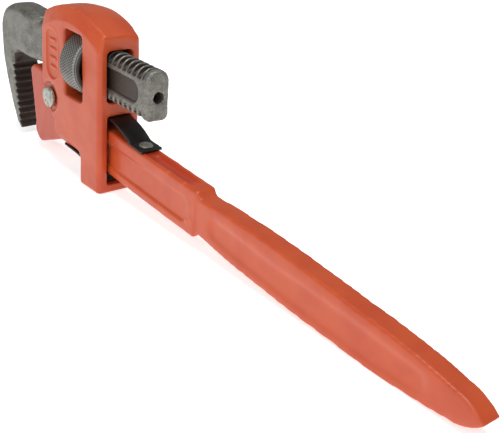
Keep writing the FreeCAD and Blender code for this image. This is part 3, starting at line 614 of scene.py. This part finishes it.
class MeshWork:
    """A mesh on the bench: its points, its neighbours, and the tools for it."""

    def __init__(self, name: str, mesh: bpy.types.Mesh) -> None:
        """Take up a mesh that is in metres in the row frame.

        Args:
            name: the piece's name.
            mesh: its mesh, which this bench may change.
        """
        self.name = name
        self.mesh = mesh

    @classmethod
    def from_node(cls, name: str, node: str) -> "MeshWork":
        """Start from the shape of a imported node, welded along its edges.

        Args:
            name: the piece's name.
            node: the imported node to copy.

        Returns:
            The bench with the copied shape.
        """
        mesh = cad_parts[node].data.copy()
        mesh.materials.clear()
        weld = bmesh.new()
        weld.from_mesh(mesh)
        bmesh.ops.remove_doubles(weld, verts=weld.verts, dist=1e-6)
        weld.to_mesh(mesh)
        weld.free()
        return cls(name, mesh)

    @classmethod
    def from_arrays(
        cls, name: str, points: Points, faces: Sequence[Sequence[int]]
    ) -> "MeshWork":
        """Start from points and faces.

        Args:
            name: the piece's name.
            points: its points in millimetres in the housing's frame.
            faces: its faces as point numbers.

        Returns:
            The bench with that shape.
        """
        mesh = bpy.data.meshes.new(name)
        row = (points + ORIGIN) * MM
        mesh.from_pydata(row.tolist(), [], [list(face) for face in faces])
        mesh.update()
        return cls(name, mesh)

    def points(self) -> Points:
        """Return the points in millimetres in the housing's frame."""
        flat = np.empty(len(self.mesh.vertices) * 3, np.float32)
        self.mesh.vertices.foreach_get("co", flat)
        return flat.reshape(-1, 3).astype(float) / MM - ORIGIN

    def move_to(self, points: Points) -> "MeshWork":
        """Put the points somewhere else and return the bench.

        Args:
            points: the new places in the housing's frame.
        """
        row = (points + ORIGIN) * MM
        self.mesh.vertices.foreach_set("co", row.astype(np.float32).ravel())
        self.mesh.update()
        return self

    def normals(self) -> Points:
        """Return the normal at each point."""
        flat = np.empty(len(self.mesh.vertices) * 3, np.float32)
        self.mesh.vertex_normals.foreach_get("vector", flat)
        return flat.reshape(-1, 3).astype(float)

    def cut_behind(self, x: float) -> "MeshWork":
        """Cut the shape across, keep what is ahead, and close the cut.

        Args:
            x: where to cut, in the housing's frame.

        Returns:
            The bench itself.
        """
        saw = bmesh.new()
        saw.from_mesh(self.mesh)
        cut = bmesh.ops.bisect_plane(
            saw,
            geom=saw.verts[:] + saw.edges[:] + saw.faces[:],
            plane_co=((x + REAR_FACE) * MM, 0, 0),
            plane_no=(1, 0, 0),
            clear_outer=True,
        )
        rim = [e for e in cut["geom_cut"] if isinstance(e, bmesh.types.BMEdge)]
        bmesh.ops.holes_fill(saw, edges=rim)
        saw.to_mesh(self.mesh)
        saw.free()
        return self

    def weld_on(self, other: "MeshWork") -> "MeshWork":
        """Add another shape's faces to this mesh and return the bench.

        Args:
            other: the shape to add.
        """
        both = bmesh.new()
        both.from_mesh(self.mesh)
        both.from_mesh(other.mesh)
        both.to_mesh(self.mesh)
        both.free()
        return self

    def remesh(self, voxel: float) -> "MeshWork":
        """Give the shape an even skin of small quads and return the bench.

        Args:
            voxel: their size in millimetres.
        """
        rough = bpy.data.objects.new(self.name + "_blank", self.mesh)
        bpy.context.scene.collection.objects.link(rough)
        skin = rough.modifiers.new("skin", "REMESH")
        skin.mode = "VOXEL"
        skin.voxel_size = voxel * MM
        skin.adaptivity = 0.0
        graph = bpy.context.evaluated_depsgraph_get()
        mesh = bpy.data.meshes.new_from_object(rough.evaluated_get(graph))
        bpy.data.objects.remove(rough)
        self.mesh = mesh
        self.voxel = voxel
        return self

    def _neighbour_mean(self, values: Points) -> Points:
        """Return the mean of each point's neighbours' values.

        Args:
            values: one row per point.
        """
        if getattr(self, "_edges_of", None) is not self.mesh:
            flat = np.empty(len(self.mesh.edges) * 2, np.int32)
            self.mesh.edges.foreach_get("vertices", flat)
            self._edges = flat.reshape(-1, 2)
            self._edges_of = self.mesh
        a, b = self._edges.T
        count = len(self.mesh.vertices)
        ends, others = np.concatenate([a, b]), np.concatenate([b, a])
        degree = np.maximum(np.bincount(ends, minlength=count), 1)
        columns = [
            np.bincount(ends, weights=values[others, axis], minlength=count) / degree
            for axis in range(values.shape[1])
        ]
        return np.stack(columns, axis=1)

    def soften(self, radius: float, where: Points | None = None) -> "MeshWork":
        """Ease the shape's edges, as forging and paint do.

        Args:
            radius: about how round an edge becomes, in millimetres.
            where: how much each point takes part, from 0 to 1.

        Returns:
            The bench itself.
        """
        rounds = max(1, round((radius / self.voxel) ** 2 * 0.9))
        points = self.points()
        share = 0.9 if where is None else 0.9 * where[:, None]
        for _ in range(rounds):
            points += share * (self._neighbour_mean(points) - points)
        return self.move_to(points)

    def swell(self, heights: Points) -> "MeshWork":
        """Push each point out along its normal and return the bench.

        Args:
            heights: how far, in millimetres.
        """
        return self.move_to(self.points() + self.normals() * heights[:, None])

    def mark(self, mark: Mark, values: Points) -> "MeshWork":
        """Store a mask on the points and return the bench.

        Args:
            mark: which mask.
            values: one value per point.
        """
        layer = self.mesh.attributes.new(mark.value, "FLOAT", "POINT")
        layer.data.foreach_set("value", values.astype(np.float32))
        return self

    def mark_edges(self, reach: float = 0.8) -> "MeshWork":
        """Mark convex edges above 0 and hollows below, and return the bench.

        Args:
            reach: how wide an edge to look for, in millimetres.
        """
        points = self.points()
        spread = points.copy()
        for _ in range(max(2, round((reach / self.voxel) ** 2))):
            spread = self._neighbour_mean(spread)
        height = ((points - spread) * self.normals()).sum(axis=1)
        return self.mark(Mark.EDGE, np.clip(height / (reach * 0.35), -1.0, 1.0))

    def deliver(
        self,
        finish: bpy.types.Material,
        body: Body,
        slot: Slot,
        stands_for: str,
        bends: tuple[float, float] | None = None,
    ) -> bpy.types.Object:
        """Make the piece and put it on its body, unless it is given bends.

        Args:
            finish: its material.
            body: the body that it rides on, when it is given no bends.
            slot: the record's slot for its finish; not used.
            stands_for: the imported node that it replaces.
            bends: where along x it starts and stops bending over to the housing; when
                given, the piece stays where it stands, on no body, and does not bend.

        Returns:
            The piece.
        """
        self.mesh.name = self.name
        self.mesh.materials.clear()
        self.mesh.materials.append(finish)
        self.mesh.polygons.foreach_set("use_smooth", [True] * len(self.mesh.polygons))
        piece = bpy.data.objects.new(self.name, self.mesh)
        bpy.context.scene.collection.objects.link(piece)
        if bends is None:
            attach(piece, body.value)
        else:
            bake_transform(piece)
        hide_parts(stands_for)
        log.info("%s: %d faces on %s", self.name, len(self.mesh.polygons), body.value)
        return piece


def ring_faces(rings: int, around: int) -> list[tuple[int, int, int, int]]:
    """Return the quads of a tube of closed rings.

    Args:
        rings: how many rings there are.
        around: how many points each has.
    """
    faces = []
    for ring in range(rings - 1):
        low = ring * around
        for step in range(around):
            after = (step + 1) % around
            faces.append(
                (low + step, low + after, low + around + after, low + around + step)
            )
    return faces


# --------------------------------------------------------------- sub-assemblies


@dataclass
class Housing:
    """The cast housing; PivotPin builds the pin that it turns on."""

    voxel: float = 0.55
    cast_edge: float = 0.6
    crown_rise: float = 3.0
    crown_margin: float = 9.0
    arch_foot: float = 90.0
    dish_reach: tuple[float, float] = (12.0, 7.5)
    dish_depth: float = 1.1
    dish_round: float = 2.0
    dish_blend: tuple[float, float] = (13.0, 10.0)
    crown_round: float = 4.5
    corner_round: float = 2.2
    plate_middle: tuple[float, float] = (-54.0, 72.6)
    plate_half: tuple[float, float] = (6.8, 15.6)
    bar_heights: tuple[float, ...] = (-8.4, -2.8, 2.8, 8.4)
    bar_half: tuple[float, float] = (3.4, 1.0)
    bar_corner: float = 0.95
    bar_relief: float = 0.75
    rim_relief: float = 0.3
    cheek: float = 14.0
    plate_depth: float = 0.9

    def _plate_relief(self, points: Points) -> Points:
        """Return the outward shift of the plate's rim and its plain bars.

        Args:
            points: the housing's points.
        """
        along = points[:, 0] - self.plate_middle[0]
        up = points[:, 2] - self.plate_middle[1]
        on_cheek = np.abs(points[:, 1]) > self.cheek - self.plate_depth - 0.5
        rise = np.zeros(len(points))
        for height in self.bar_heights:
            away = rounded_box_distance(
                along, up - height, *self.bar_half, self.bar_corner
            )
            rise = np.maximum(rise, smooth_step(away, 0.55, -0.35))
        outline = rounded_box_distance(along, up, *self.plate_half, self.plate_half[0])
        rim = np.exp(-(((outline - 0.7) / 0.55) ** 2)) * self.rim_relief
        return on_cheek * (rise * self.bar_relief + rim)

    def _dome(self, points: Points, normals: Points) -> Points:
        """Return the shift that turns the arch's sloping margins into a dome.

        Args:
            points: the housing's points.
            normals: the normal at each point.
        """
        across = np.minimum(np.abs(points[:, 1]), self.cheek)
        flat = self.cheek - self.crown_margin
        roof = np.minimum(1.0, (self.cheek - across) / (self.cheek - flat))
        dome = 1.0 - (across / self.cheek) ** 2
        on_top = smooth_step(normals[:, 2], 0.3, 0.7) * (points[:, 2] > self.arch_foot)
        shift = np.zeros_like(points)
        shift[:, 2] = (dome - roof) * self.crown_rise * on_top
        return shift

    def build(self, enamel: bpy.types.Material) -> None:
        """Build the casting.

        Args:
            enamel: its finish.
        """
        work = MeshWork.from_node("housing_casting", "housing_frame")
        work.remesh(self.voxel).soften(self.cast_edge)
        points = work.points()
        normals = work.normals()
        away = np.hypot(points[:, 0] - PIN[0], points[:, 2] - PIN[1])
        dish = smooth_step(away, *self.dish_reach) * (np.abs(normals[:, 1]) > 0.5)
        dish *= np.abs(points[:, 1]) > self.cheek - 2.5
        near_pin = smooth_step(away, *self.dish_blend)
        near_pin *= np.abs(points[:, 1]) > self.cheek - 3.0
        work.soften(self.dish_round, near_pin)
        points = work.points()
        points[:, 1] -= np.sign(points[:, 1]) * dish * self.dish_depth
        work.move_to(points + self._dome(points, normals))
        top = smooth_step(points[:, 2], self.arch_foot - 2, self.arch_foot + 4)
        top *= smooth_step(work.normals()[:, 2], 0.5, 0.8)
        top *= smooth_step(np.abs(points[:, 1]), self.cheek - 0.8, self.cheek - 2.5)
        work.soften(self.crown_round, top * smooth_step(points[:, 0], -0.8, -3.0))
        corner = smooth_step(points[:, 2], self.arch_foot - 5, self.arch_foot)
        work.soften(self.corner_round, corner * smooth_step(points[:, 0], -9.0, -5.0))
        points = work.points()
        wave = ripple(points, 26.0, 3) * 0.12 + ripple(points, 9.0, 4) * 0.05
        work.swell(wave + self._plate_relief(points))
        work.mark_edges()
        work.deliver(enamel, Body.HOUSING, Slot.PAINT, "housing_frame")


@dataclass
class PivotPin:
    """The peened pin across the housing."""

    voxel: float = 0.3
    peened: float = 0.7

    def build(self, plate: bpy.types.Material) -> None:
        """Build the pin.

        Args:
            plate: its finish.
        """
        work = MeshWork.from_node("peened_pivot_pin", "pivot_pin")
        work.remesh(self.voxel).soften(self.peened)
        points = work.points()
        work.swell(ripple(points, 3.2, 11) * 0.10 + ripple(points, 7.0, 12) * 0.08)
        work.mark_edges(0.6)
        work.deliver(plate, Body.HOUSING, Slot.PLATED, "pivot_pin")


@dataclass
class HookJaw:
    """The forged hook with its threaded shank, made as one forging."""

    voxel: float = 0.51
    half_width: float = 7.4
    half_height: float = 14.7
    upper_corner: float = 7.0
    under_corner: float = 4.0
    root_radius: float = 11.3
    crest_radius: float = 14.62
    pitch: float = 5.0
    crest_half: float = 0.50
    foot_half: float = 1.40
    thread_from: float = -57.0
    thread_to: float = 34.2
    joint: float = -57.8
    end: float = 39.0
    end_round: float = 2.8
    overlap: float = 2.4  # how far the shank reaches into the head
    drill_point: float = 1.8
    hole_radius: float = 3.4
    hole_depth: float = 9.0
    hole_drop: float = 0.8
    panel_drop: float = 0.3
    panel_half_height: float = 6.8
    panel_end: float = 29.5
    panel_corner: float = 6.4
    panel_half_length: float = 80.0  # runs on into the head
    panel_depth: float = 1.3
    forged_round: float = 5.0
    head_half_width: float = 9.4
    neck: tuple[float, float] = (-76.0, -88.0)
    teeth_top: float = 48.8
    tip_line: float = -114.4  # x of the tooth tips' line at teeth_top
    tip_lean: float = 0.097
    bite: float = 1.6
    bite_more: float = 0.7
    around: int = 184
    step: float = 0.3
    housing_front: float = -67.0

    def _ring_at(self, x: float, ring: Points) -> Points:
        """Return a ring of (y, z) rows as points at one place along the shank.

        Args:
            x: place along the shank.
            ring: the ring.
        """
        return np.column_stack([np.full(self.around, x), ring])

    def _section(self, inset: float) -> Points:
        """Return one ring of the shank's rounded section as (y, z) rows.

        Args:
            inset: how far inside the full section it runs.
        """
        wide, high = self.half_width - inset, self.half_height - inset
        upper = max(self.upper_corner - inset * 0.6, 0.5)
        under = max(self.under_corner - inset * 0.6, 0.5)
        outline = [np.array([[wide, 0.0]])]
        for quarter, (side_y, side_z, corner) in enumerate(
            ((1, 1, upper), (-1, 1, upper), (-1, -1, under), (1, -1, under))
        ):
            turn = (quarter + np.linspace(0, 1, 16)) * math.pi / 2
            arc_y = side_y * (wide - corner) + corner * np.cos(turn)
            arc_z = side_z * (high - corner) + corner * np.sin(turn)
            outline.append(np.column_stack([arc_y, arc_z]))
        outline.append(outline[0])
        path = np.concatenate(outline)
        gone = np.concatenate([[0.0], np.cumsum(np.hypot(*np.diff(path, axis=0).T))])
        stops = np.arange(self.around) / self.around * gone[-1]
        return np.column_stack([np.interp(stops, gone, side) for side in path.T])

    def _from_crest(self, x: Points | float, angle: Points) -> Points:
        """Return the distance along x to the thread's nearest crest.

        Args:
            x: place along the shank.
            angle: angle about the thread's axis, by the right-hand rule about +x.
        """
        top_crest = self.thread_to - self.pitch * 0.5
        turns = (x - top_crest) / self.pitch - angle / TURN + 0.25
        return np.abs((turns + 0.5) % 1.0 - 0.5) * self.pitch

    def _thread_radius(self, x: float, angle: Points) -> Points:
        """Return the thread's radius at one place along the shank.

        Args:
            x: place along the shank.
            angle: angle about the thread's axis, by the right-hand rule about +x.
        """
        radius = np.interp(
            self._from_crest(x, angle),
            [self.crest_half, self.foot_half],
            [self.crest_radius, self.root_radius],
        )
        inside = min(x - self.thread_from, self.thread_to - x)
        return radius + (max(0.0, 1.0 - inside / 0.6) * 4.0)

    def _shank(self) -> MeshWork:
        """Return the threaded shank as a closed shape."""
        full = self._section(0.0)
        reach = np.linalg.norm(full, axis=1)
        angle = np.arctan2(full[:, 1], full[:, 0])
        rings = []
        stations = np.arange(
            self.joint - self.overlap, self.end - self.end_round, self.step
        )
        for x in stations:
            share = np.minimum(1.0, self._thread_radius(x, angle) / reach)
            ring = full * share[:, None]
            away = rounded_box_distance(
                np.full(self.around, x - (self.panel_end - self.panel_half_length)),
                ring[:, 1] + self.panel_drop,
                self.panel_half_length,
                self.panel_half_height,
                self.panel_corner,
            )
            flat = smooth_step(np.abs(ring[:, 0]), self.half_width - 0.4, self.half_width)
            deep = smooth_step(away, 0.1, -0.9) * self.panel_depth * flat
            ring[:, 0] -= np.sign(ring[:, 0]) * deep
            rings.append(self._ring_at(x, ring))
        for turn in np.linspace(0, math.pi / 2, 7):
            x = self.end - self.end_round * (1 - math.sin(turn))
            ring = self._section(self.end_round * (1 - math.cos(turn)))
            rings.append(self._ring_at(x, ring))
        face = rings[-1][:, 1:]
        centre = np.array([0.0, -self.hole_drop])
        bearing = np.arctan2(*(face - centre).T[::-1])
        circle = np.column_stack([np.cos(bearing), np.sin(bearing)])
        rim = centre + circle * self.hole_radius
        for share in np.linspace(0, 1, 9)[1:]:
            ring = face + (rim - face) * share
            rings.append(self._ring_at(self.end, ring))
        for depth in np.linspace(0, self.hole_depth, 14)[1:]:
            rings.append(self._ring_at(self.end - depth, rim))
        points = np.concatenate(rings)
        tips = np.array(
            [
                [self.joint - self.overlap, 0.0, 0.0],
                [self.end - self.hole_depth - self.drill_point, 0.0, -self.hole_drop],
            ]
        )
        faces = ring_faces(len(rings), self.around)
        first, last = len(points), len(points) + 1
        deepest = (len(rings) - 1) * self.around
        for step in range(self.around):
            after = (step + 1) % self.around
            faces.append((first, after, step))
            faces.append((last, deepest + step, deepest + after))
        points = np.concatenate([points, tips])
        points[:, 2] += SCREW_HEIGHT
        return MeshWork.from_arrays("threaded_shank", points, faces)

    def _behind_teeth(self, points: Points) -> Points:
        """Return how far each point lies behind the line of the tooth tips.

        Args:
            points: the forging's points.
        """
        below = self.teeth_top - points[:, 2]
        return points[:, 0] - self.tip_line - below * self.tip_lean

    def _shade(self, points: Points, normals: Points) -> Points:
        """Return how dark each point is: darker in the thread's grooves and on the side
        panel, and painted shade over the teeth and in the jaw's mouth.

        Args:
            points: the forging's points.
            normals: the normal at each point.
        """
        x, y, z = points.T
        up = z - SCREW_HEIGHT
        on_thread = smooth_step(x, self.thread_from - 1, self.thread_from + 1)
        on_thread *= smooth_step(x, self.thread_to + 0.6, self.thread_to - 0.6)
        away = self._from_crest(x, np.arctan2(up, y))
        groove = smooth_step(away, self.crest_half, self.crest_half + 0.45)
        groove *= np.maximum(smooth_step(up, 8.2, 9.6), smooth_step(up, -11.0, -12.0))
        panel = smooth_step(self.half_width - np.abs(y), 0.5, 1.0) * (np.abs(up) < 8.0)
        panel *= smooth_step(x, self.panel_end + 1.0, self.panel_end - 1.0)
        shank = on_thread * np.maximum(groove * 1.15, panel * 0.72)
        # painted shade over the teeth and up into the throat above them
        mouth = smooth_step(self._behind_teeth(points), -4.6, -3.4)
        mouth *= smooth_step(z, self.teeth_top + 8.5, self.teeth_top + 6.5)
        mouth *= smooth_step(np.abs(normals[:, 1]), 0.85, 0.6)
        mouth *= x < self.housing_front + 1.0
        return np.maximum(shank, mouth)

    def _round_over(self, work: MeshWork) -> None:
        """Round the head's edges as its die did, except along its teeth.

        Args:
            work: the head, on an even skin.
        """
        points, normals = work.points(), work.normals()
        x, y, z = points.T
        at_teeth = (self._behind_teeth(points) > -4.2) & (z < self.teeth_top + 3.0)
        rim = (np.abs(normals[:, 1]) < 0.35) & (x < self.neck[0]) & ~at_teeth
        tree = KDTree(int(rim.sum()))
        for number, (along, up) in enumerate(zip(x[rim], z[rim])):
            tree.insert((along, 0.0, up), number)
        tree.balance()
        inside = np.array([tree.find((a, 0.0, u))[2] for a, u in zip(x, z)])
        inside = np.clip(inside - self.voxel * 0.5, 0.0, self.forged_round)
        short = self.forged_round - inside
        fall = self.forged_round - np.sqrt(self.forged_round**2 - short**2)
        fall *= smooth_step(x, *self.neck)
        points[:, 1] -= y / self.head_half_width * fall
        work.move_to(points)

    def build(self, steel: bpy.types.Material) -> None:
        """Build the forging.

        Args:
            steel: its finish.
        """
        work = MeshWork.from_node("hook_forging", "hook_jaw").cut_behind(self.joint)
        self._round_over(work.remesh(self.voxel))
        points = work.points()
        behind = self._behind_teeth(points)
        bite = np.interp(behind, [-7.0, -self.bite, 0.0], [0.0, -self.bite, 0.0])
        bite *= smooth_step(points[:, 2], self.teeth_top + 1.0, self.teeth_top - 1.0)
        points[:, 0] += bite * self.bite_more
        work.move_to(points)
        work.weld_on(self._shank()).remesh(self.voxel)
        points = work.points()
        near_teeth = smooth_step(self._behind_teeth(points), -5.0, -3.4)
        near_teeth *= smooth_step(points[:, 2], self.teeth_top + 1.5, self.teeth_top)
        head = smooth_step(points[:, 0], self.housing_front - 8, self.housing_front - 13)
        work.soften(1.0, head * (1.0 - near_teeth))
        work.soften(0.4)
        points = work.points()
        rough = ripple(points, 3.0, 21) * 0.05 + ripple(points, 11.0, 22) * 0.12
        end = smooth_step(points[:, 0], self.end - 6.5, self.end - 4.0)
        rough += end * (ripple(points, 1.5, 23) * 0.10 + ripple(points, 4.0, 24) * 0.10)
        quiet = smooth_step(points[:, 0], self.thread_to + 2, self.thread_to)
        work.swell(rough * (1.0 - 0.55 * quiet * (points[:, 0] > -60)))
        work.mark(Mark.SHADE, self._shade(work.points(), work.normals()))
        work.mark_edges(0.7)
        work.deliver(steel, Body.HOOK, Slot.FORGED, "hook_jaw")


@dataclass
class AdjustingNut:
    """The knurled nut in the housing's window."""

    middle: float = -29.35
    bore: float = 15.0
    hub_half: float = 9.35
    hub_radius: float = 17.4
    band_half: float = 8.0
    bevel: float = 0.9
    radius: float = 18.9
    knurl_depth: float = 0.42
    knurl_starts: int = 66
    knurl_slant: float = 32.0
    knurl_worn: float = 1.9
    around: int = 528
    rows: int = 48

    def _knurl(self, x: Points, angle: Points) -> Points:
        """Return the knurl's height from 0 in the grooves to 1 on the points.

        Args:
            x: place along the axis, from the nut's middle.
            angle: angle about the axis.
        """
        lean = math.tan(math.radians(self.knurl_slant))
        across = self.knurl_starts / TURN
        heights = []
        for way in (-1.0, 1.0):
            turns = angle * across + way * x * across / self.radius * lean
            heights.append(np.abs((turns % 1.0) - 0.5) * 2.0)
        return np.minimum(np.minimum(*(1.0 - np.array(heights))) * self.knurl_worn, 1.0)

    def build(self, steel: bpy.types.Material) -> None:
        """Build the nut.

        Args:
            steel: its finish.
        """
        angle = np.arange(self.around) / self.around * TURN
        flat = self.band_half - self.bevel
        rise = np.linspace(-flat, flat, self.rows)
        # Each row: place along the axis, radius, painted shade on the flat faces and
        # bore, and how much knurl it carries.
        side = [
            (self.hub_half, self.bore, 1.0, 0.0),
            (self.hub_half, self.bore + 0.3, 0.9, 0.0),
            (self.hub_half, self.hub_radius - 0.4, 0.75, 0.0),
            (self.hub_half - 0.4, self.hub_radius, 0.4, 0.0),
            (self.band_half + 0.02, self.hub_radius, 0.8, 0.0),
            (self.band_half, self.radius - self.bevel - 0.2, 0.5, 0.0),
            (self.band_half - 0.25, self.radius - self.bevel, 0.2, 0.3),
        ]
        profile = [(-x, *rest) for x, *rest in side]
        profile += [(x, self.radius, 0.0, 1.0) for x in rise]
        profile += reversed(side)
        rings, shades = [], []
        for x, radius, dark, knurled in profile:
            height = self._knurl(np.full(self.around, x), angle)
            cut = radius - self.knurl_depth * (1.0 - height) * knurled
            rings.append(
                np.column_stack(
                    [
                        np.full(self.around, x + self.middle),
                        cut * np.cos(angle),
                        cut * np.sin(angle) + SCREW_HEIGHT,
                    ]
                )
            )
            # dark between the knurl's points, and painted shade on the flat faces
            shades.append(np.maximum((1.0 - height) * knurled * 0.95, dark))
        faces = ring_faces(len(rings), self.around)
        last = (len(rings) - 1) * self.around
        for step in range(self.around):
            after = (step + 1) % self.around
            faces.append((last + step, last + after, after, step))
        work = MeshWork.from_arrays("knurled_nut", np.concatenate(rings), faces)
        work.mark(Mark.SHADE, np.concatenate(shades))
        work.deliver(steel, Body.NUT, Slot.KNURLED, "adjusting_nut")


@dataclass
class Handle:
    """The forged handle with its heel jaw."""

    voxel: float = 0.62
    dipped_edge: float = 1.5
    heel_round: float = 1.6
    # painted shadow on the heel, where the housing shades it
    heel_painted_shadow: float = 0.7
    heel_from: tuple[float, float] = (-6.0, -12.0)
    teeth_from: tuple[float, float] = (-30.0, -33.0)
    droop: float = math.radians(3.1)
    grip_from: tuple[float, float] = (150.0, 156.0)
    flute_round: float = 2.6
    trough_half: float = 4.9
    trough_floor: float = -4.0
    trough_depth: float = 0.45
    trough_from: tuple[float, float] = (86.0, 92.0)
    trough_to: tuple[float, float] = (138.0, 130.0)
    blob_width: float = 1.3
    blobs: tuple[tuple[float, float, float, float], ...] = (  # place and height
        (138.0, -6.6, -21.0, 0.45),
        (141.0, -6.6, -19.0, 0.28),
        (133.0, -5.2, -1.0, 0.32),
        (118.0, -5.6, -1.0, 0.25),
        (110.5, 5.4, -1.0, 0.22),
    )

    def own(self, points: Points) -> Points:
        """Return points in the handle's own frame, from the pin along the bar.

        Args:
            points: points in the housing's frame.
        """
        x, z = points[:, 0] - PIN[0], points[:, 2] - PIN[1]
        c, s = math.cos(self.droop), math.sin(self.droop)
        return np.column_stack([c * x - s * z, points[:, 1], s * x + c * z])

    def _trough(self, own: Points) -> Points:
        """Return the painted shade: over the bar's trough, whose mask also sinks it, and
        painted shadow on the heel.

        Args:
            own: the handle's points in its own frame.
        """
        across = smooth_step(np.abs(own[:, 1]), self.trough_half, self.trough_half - 1.4)
        along = smooth_step(own[:, 0], *self.trough_from)
        along *= smooth_step(own[:, 0], *self.trough_to)
        # painted shadow on the heel and the bar by the pin
        heel = smooth_step(own[:, 0], 6.0, -4.0) * self.heel_painted_shadow
        return np.maximum(across * along * (own[:, 2] > self.trough_floor), heel)

    def build(self, enamel: bpy.types.Material) -> None:
        """Build the forging.

        Args:
            enamel: its finish.
        """
        work = MeshWork.from_node("handle_forging", "handle_bar")
        work.remesh(self.voxel)
        own = self.own(work.points())
        teeth = smooth_step(own[:, 0], *self.teeth_from)
        teeth *= smooth_step(np.abs(own[:, 1]), 6.8, 5.0)
        heel = smooth_step(own[:, 0], *self.heel_from) * (1.0 - teeth)
        work.soften(self.heel_round, heel)
        grip = smooth_step(own[:, 0], *self.grip_from)
        flank = smooth_step(np.abs(work.normals()[:, 1]), 0.6, 0.85)
        work.soften(self.flute_round, grip * flank)
        work.soften(self.dipped_edge, 1.0 - teeth * 0.8)
        points = work.points()
        own = self.own(points)
        wave = ripple(points, 30.0, 31) * 0.14 + ripple(points, 8.0, 32) * 0.05
        for x, y, z, size in self.blobs:
            away = np.linalg.norm(own - np.array([x, y, z]), axis=1)
            wave += size * np.exp(-((away / self.blob_width) ** 2))
        pooling_and_shade = self._trough(own)
        on_bar = smooth_step(own[:, 0], *self.trough_from)
        work.swell(wave - pooling_and_shade * on_bar * self.trough_depth)
        # painted shade in the trough and painted shadow on the heel
        work.mark(Mark.SHADE, pooling_and_shade)
        work.mark_edges(1.0)
        work.deliver(enamel, Body.HANDLE, Slot.PAINT, "handle_bar")


@dataclass
class LeafSpring:
    """One spring leaf with its rivet."""

    which: str
    riveted_to: float  # along the bar, from the pin
    touches_at: float
    voxel: float = 0.34
    rivet_voxel: float = 0.22

    def build(self, strip: bpy.types.Material, plate: bpy.types.Material) -> None:
        """Build the leaf and its rivet.

        Args:
            strip: the leaf's finish.
            plate: the rivet's finish.
        """
        node = f"{self.which}_leaf_spring"
        leaf = MeshWork.from_node(f"{self.which}_leaf", node)
        leaf.remesh(self.voxel).soften(0.4).mark_edges(0.5)
        bends = self.riveted_to + PIN[0], self.touches_at + PIN[0]
        leaf.deliver(strip, Body.HANDLE, Slot.SPRING, node, bends)
        node = f"{self.which}_spring_rivet"
        rivet = MeshWork.from_node(f"{self.which}_rivet", node)
        rivet.remesh(self.rivet_voxel).soften(0.45)
        points = rivet.points()
        rivet.swell(ripple(points, 2.4, 41) * 0.07)
        rivet.mark_edges(0.5)
        rivet.deliver(plate, Body.HANDLE, Slot.PLATED, node)


# ------------------------------------------------------------------- the studio


@dataclass
class Studio:
    """Pale floor, soft light and the camera."""

    floor_half: float = 4.0
    sensor: float = 36.0
    clip: tuple[float, float] = (0.01, 50.0)
    target: tuple[float, float, float] = (-0.01147, 0.05030, -0.00245)
    azimuth: float = 41.431
    elevation: float = 26.008
    roll: float = 4.755
    distance: float = 0.54496
    lens: float = 65.822
    shift: tuple[float, float] = (0.01102, -0.00644)
    sky: float = 0.29
    lamps: list[tuple[str, tuple[float, float, float], float, float]] = field(
        default_factory=lambda: [
            ("key_light", (0.35, -1.25, 0.85), 1.2, 8.0),
            ("top_light", (0.25, 0.00, 1.60), 0.9, 17.0),
        ]
    )

    def _floor(self) -> None:
        """Lay the floor."""
        half = self.floor_half
        mesh = bpy.data.meshes.new("floor")
        ring = [(-half, -half, 0), (half, -half, 0), (half, half, 0), (-half, half, 0)]
        mesh.from_pydata(ring, [], [(0, 1, 2, 3)])
        mesh.materials.append(PaleFloor().make())
        floor = bpy.data.objects.new("floor", mesh)
        bpy.context.scene.collection.objects.link(floor)

    def _light(self) -> None:
        """Set the sky and the lamps."""
        world = bpy.data.worlds.new("studio")
        world.use_nodes = True
        sky = world.node_tree.nodes["Background"]
        sky.inputs["Color"].default_value = (1.0, 1.0, 1.0, 1.0)
        sky.inputs["Strength"].default_value = self.sky
        bpy.context.scene.world = world
        for name, place, size, power in self.lamps:
            data = bpy.data.lights.new(name, "AREA")
            data.shape = "DISK"
            data.size = size
            data.energy = power
            lamp = bpy.data.objects.new(name, data)
            lamp.location = place
            lamp.rotation_mode = "QUATERNION"
            lamp.rotation_quaternion = (-Vector(place)).to_track_quat("-Z", "Y")
            bpy.context.scene.collection.objects.link(lamp)

    def _camera(self) -> None:
        """Set the camera."""
        turn, lift = math.radians(self.azimuth), math.radians(self.elevation)
        back = Vector(
            (
                math.cos(lift) * math.cos(turn),
                -math.cos(lift) * math.sin(turn),
                math.sin(lift),
            )
        )
        right = (-back).cross(Vector((0, 0, 1))).normalized()
        up = right.cross(-back)
        axes = Matrix((right, up, back)).transposed()
        data = bpy.data.cameras.new("camera")
        data.lens = self.lens
        data.sensor_width = self.sensor
        data.shift_x, data.shift_y = self.shift
        data.clip_start, data.clip_end = self.clip
        camera = bpy.data.objects.new("camera", data)
        camera.rotation_mode = "QUATERNION"
        spin = Matrix.Rotation(math.radians(self.roll), 3, "Z")
        camera.rotation_quaternion = (axes @ spin).to_quaternion()
        camera.location = Vector(self.target) + back * self.distance
        bpy.context.scene.collection.objects.link(camera)
        bpy.context.scene.camera = camera

    def build(self) -> None:
        """Build the floor, the lights and the camera."""
        self._floor()
        self._light()
        self._camera()
        bpy.context.scene.view_settings.view_transform = "Standard"


def main() -> None:
    """Build the wrench piece by piece."""
    logging.basicConfig(level=logging.INFO, format="%(name)s: %(message)s")
    Studio().build()
    enamel, plate = Enamel().make(), DullPlate().make()
    Housing().build(enamel)
    PivotPin().build(plate)
    HookJaw().build(ForgedSteel().make())
    AdjustingNut().build(KnurledSteel().make())
    Handle().build(enamel)
    strip = BluedSpring().make()
    LeafSpring("upper", 82.2, 60.0).build(strip, plate)
    LeafSpring("lower", 18.8, 46.0).build(strip, plate)


if __name__ == "__main__":
    main()
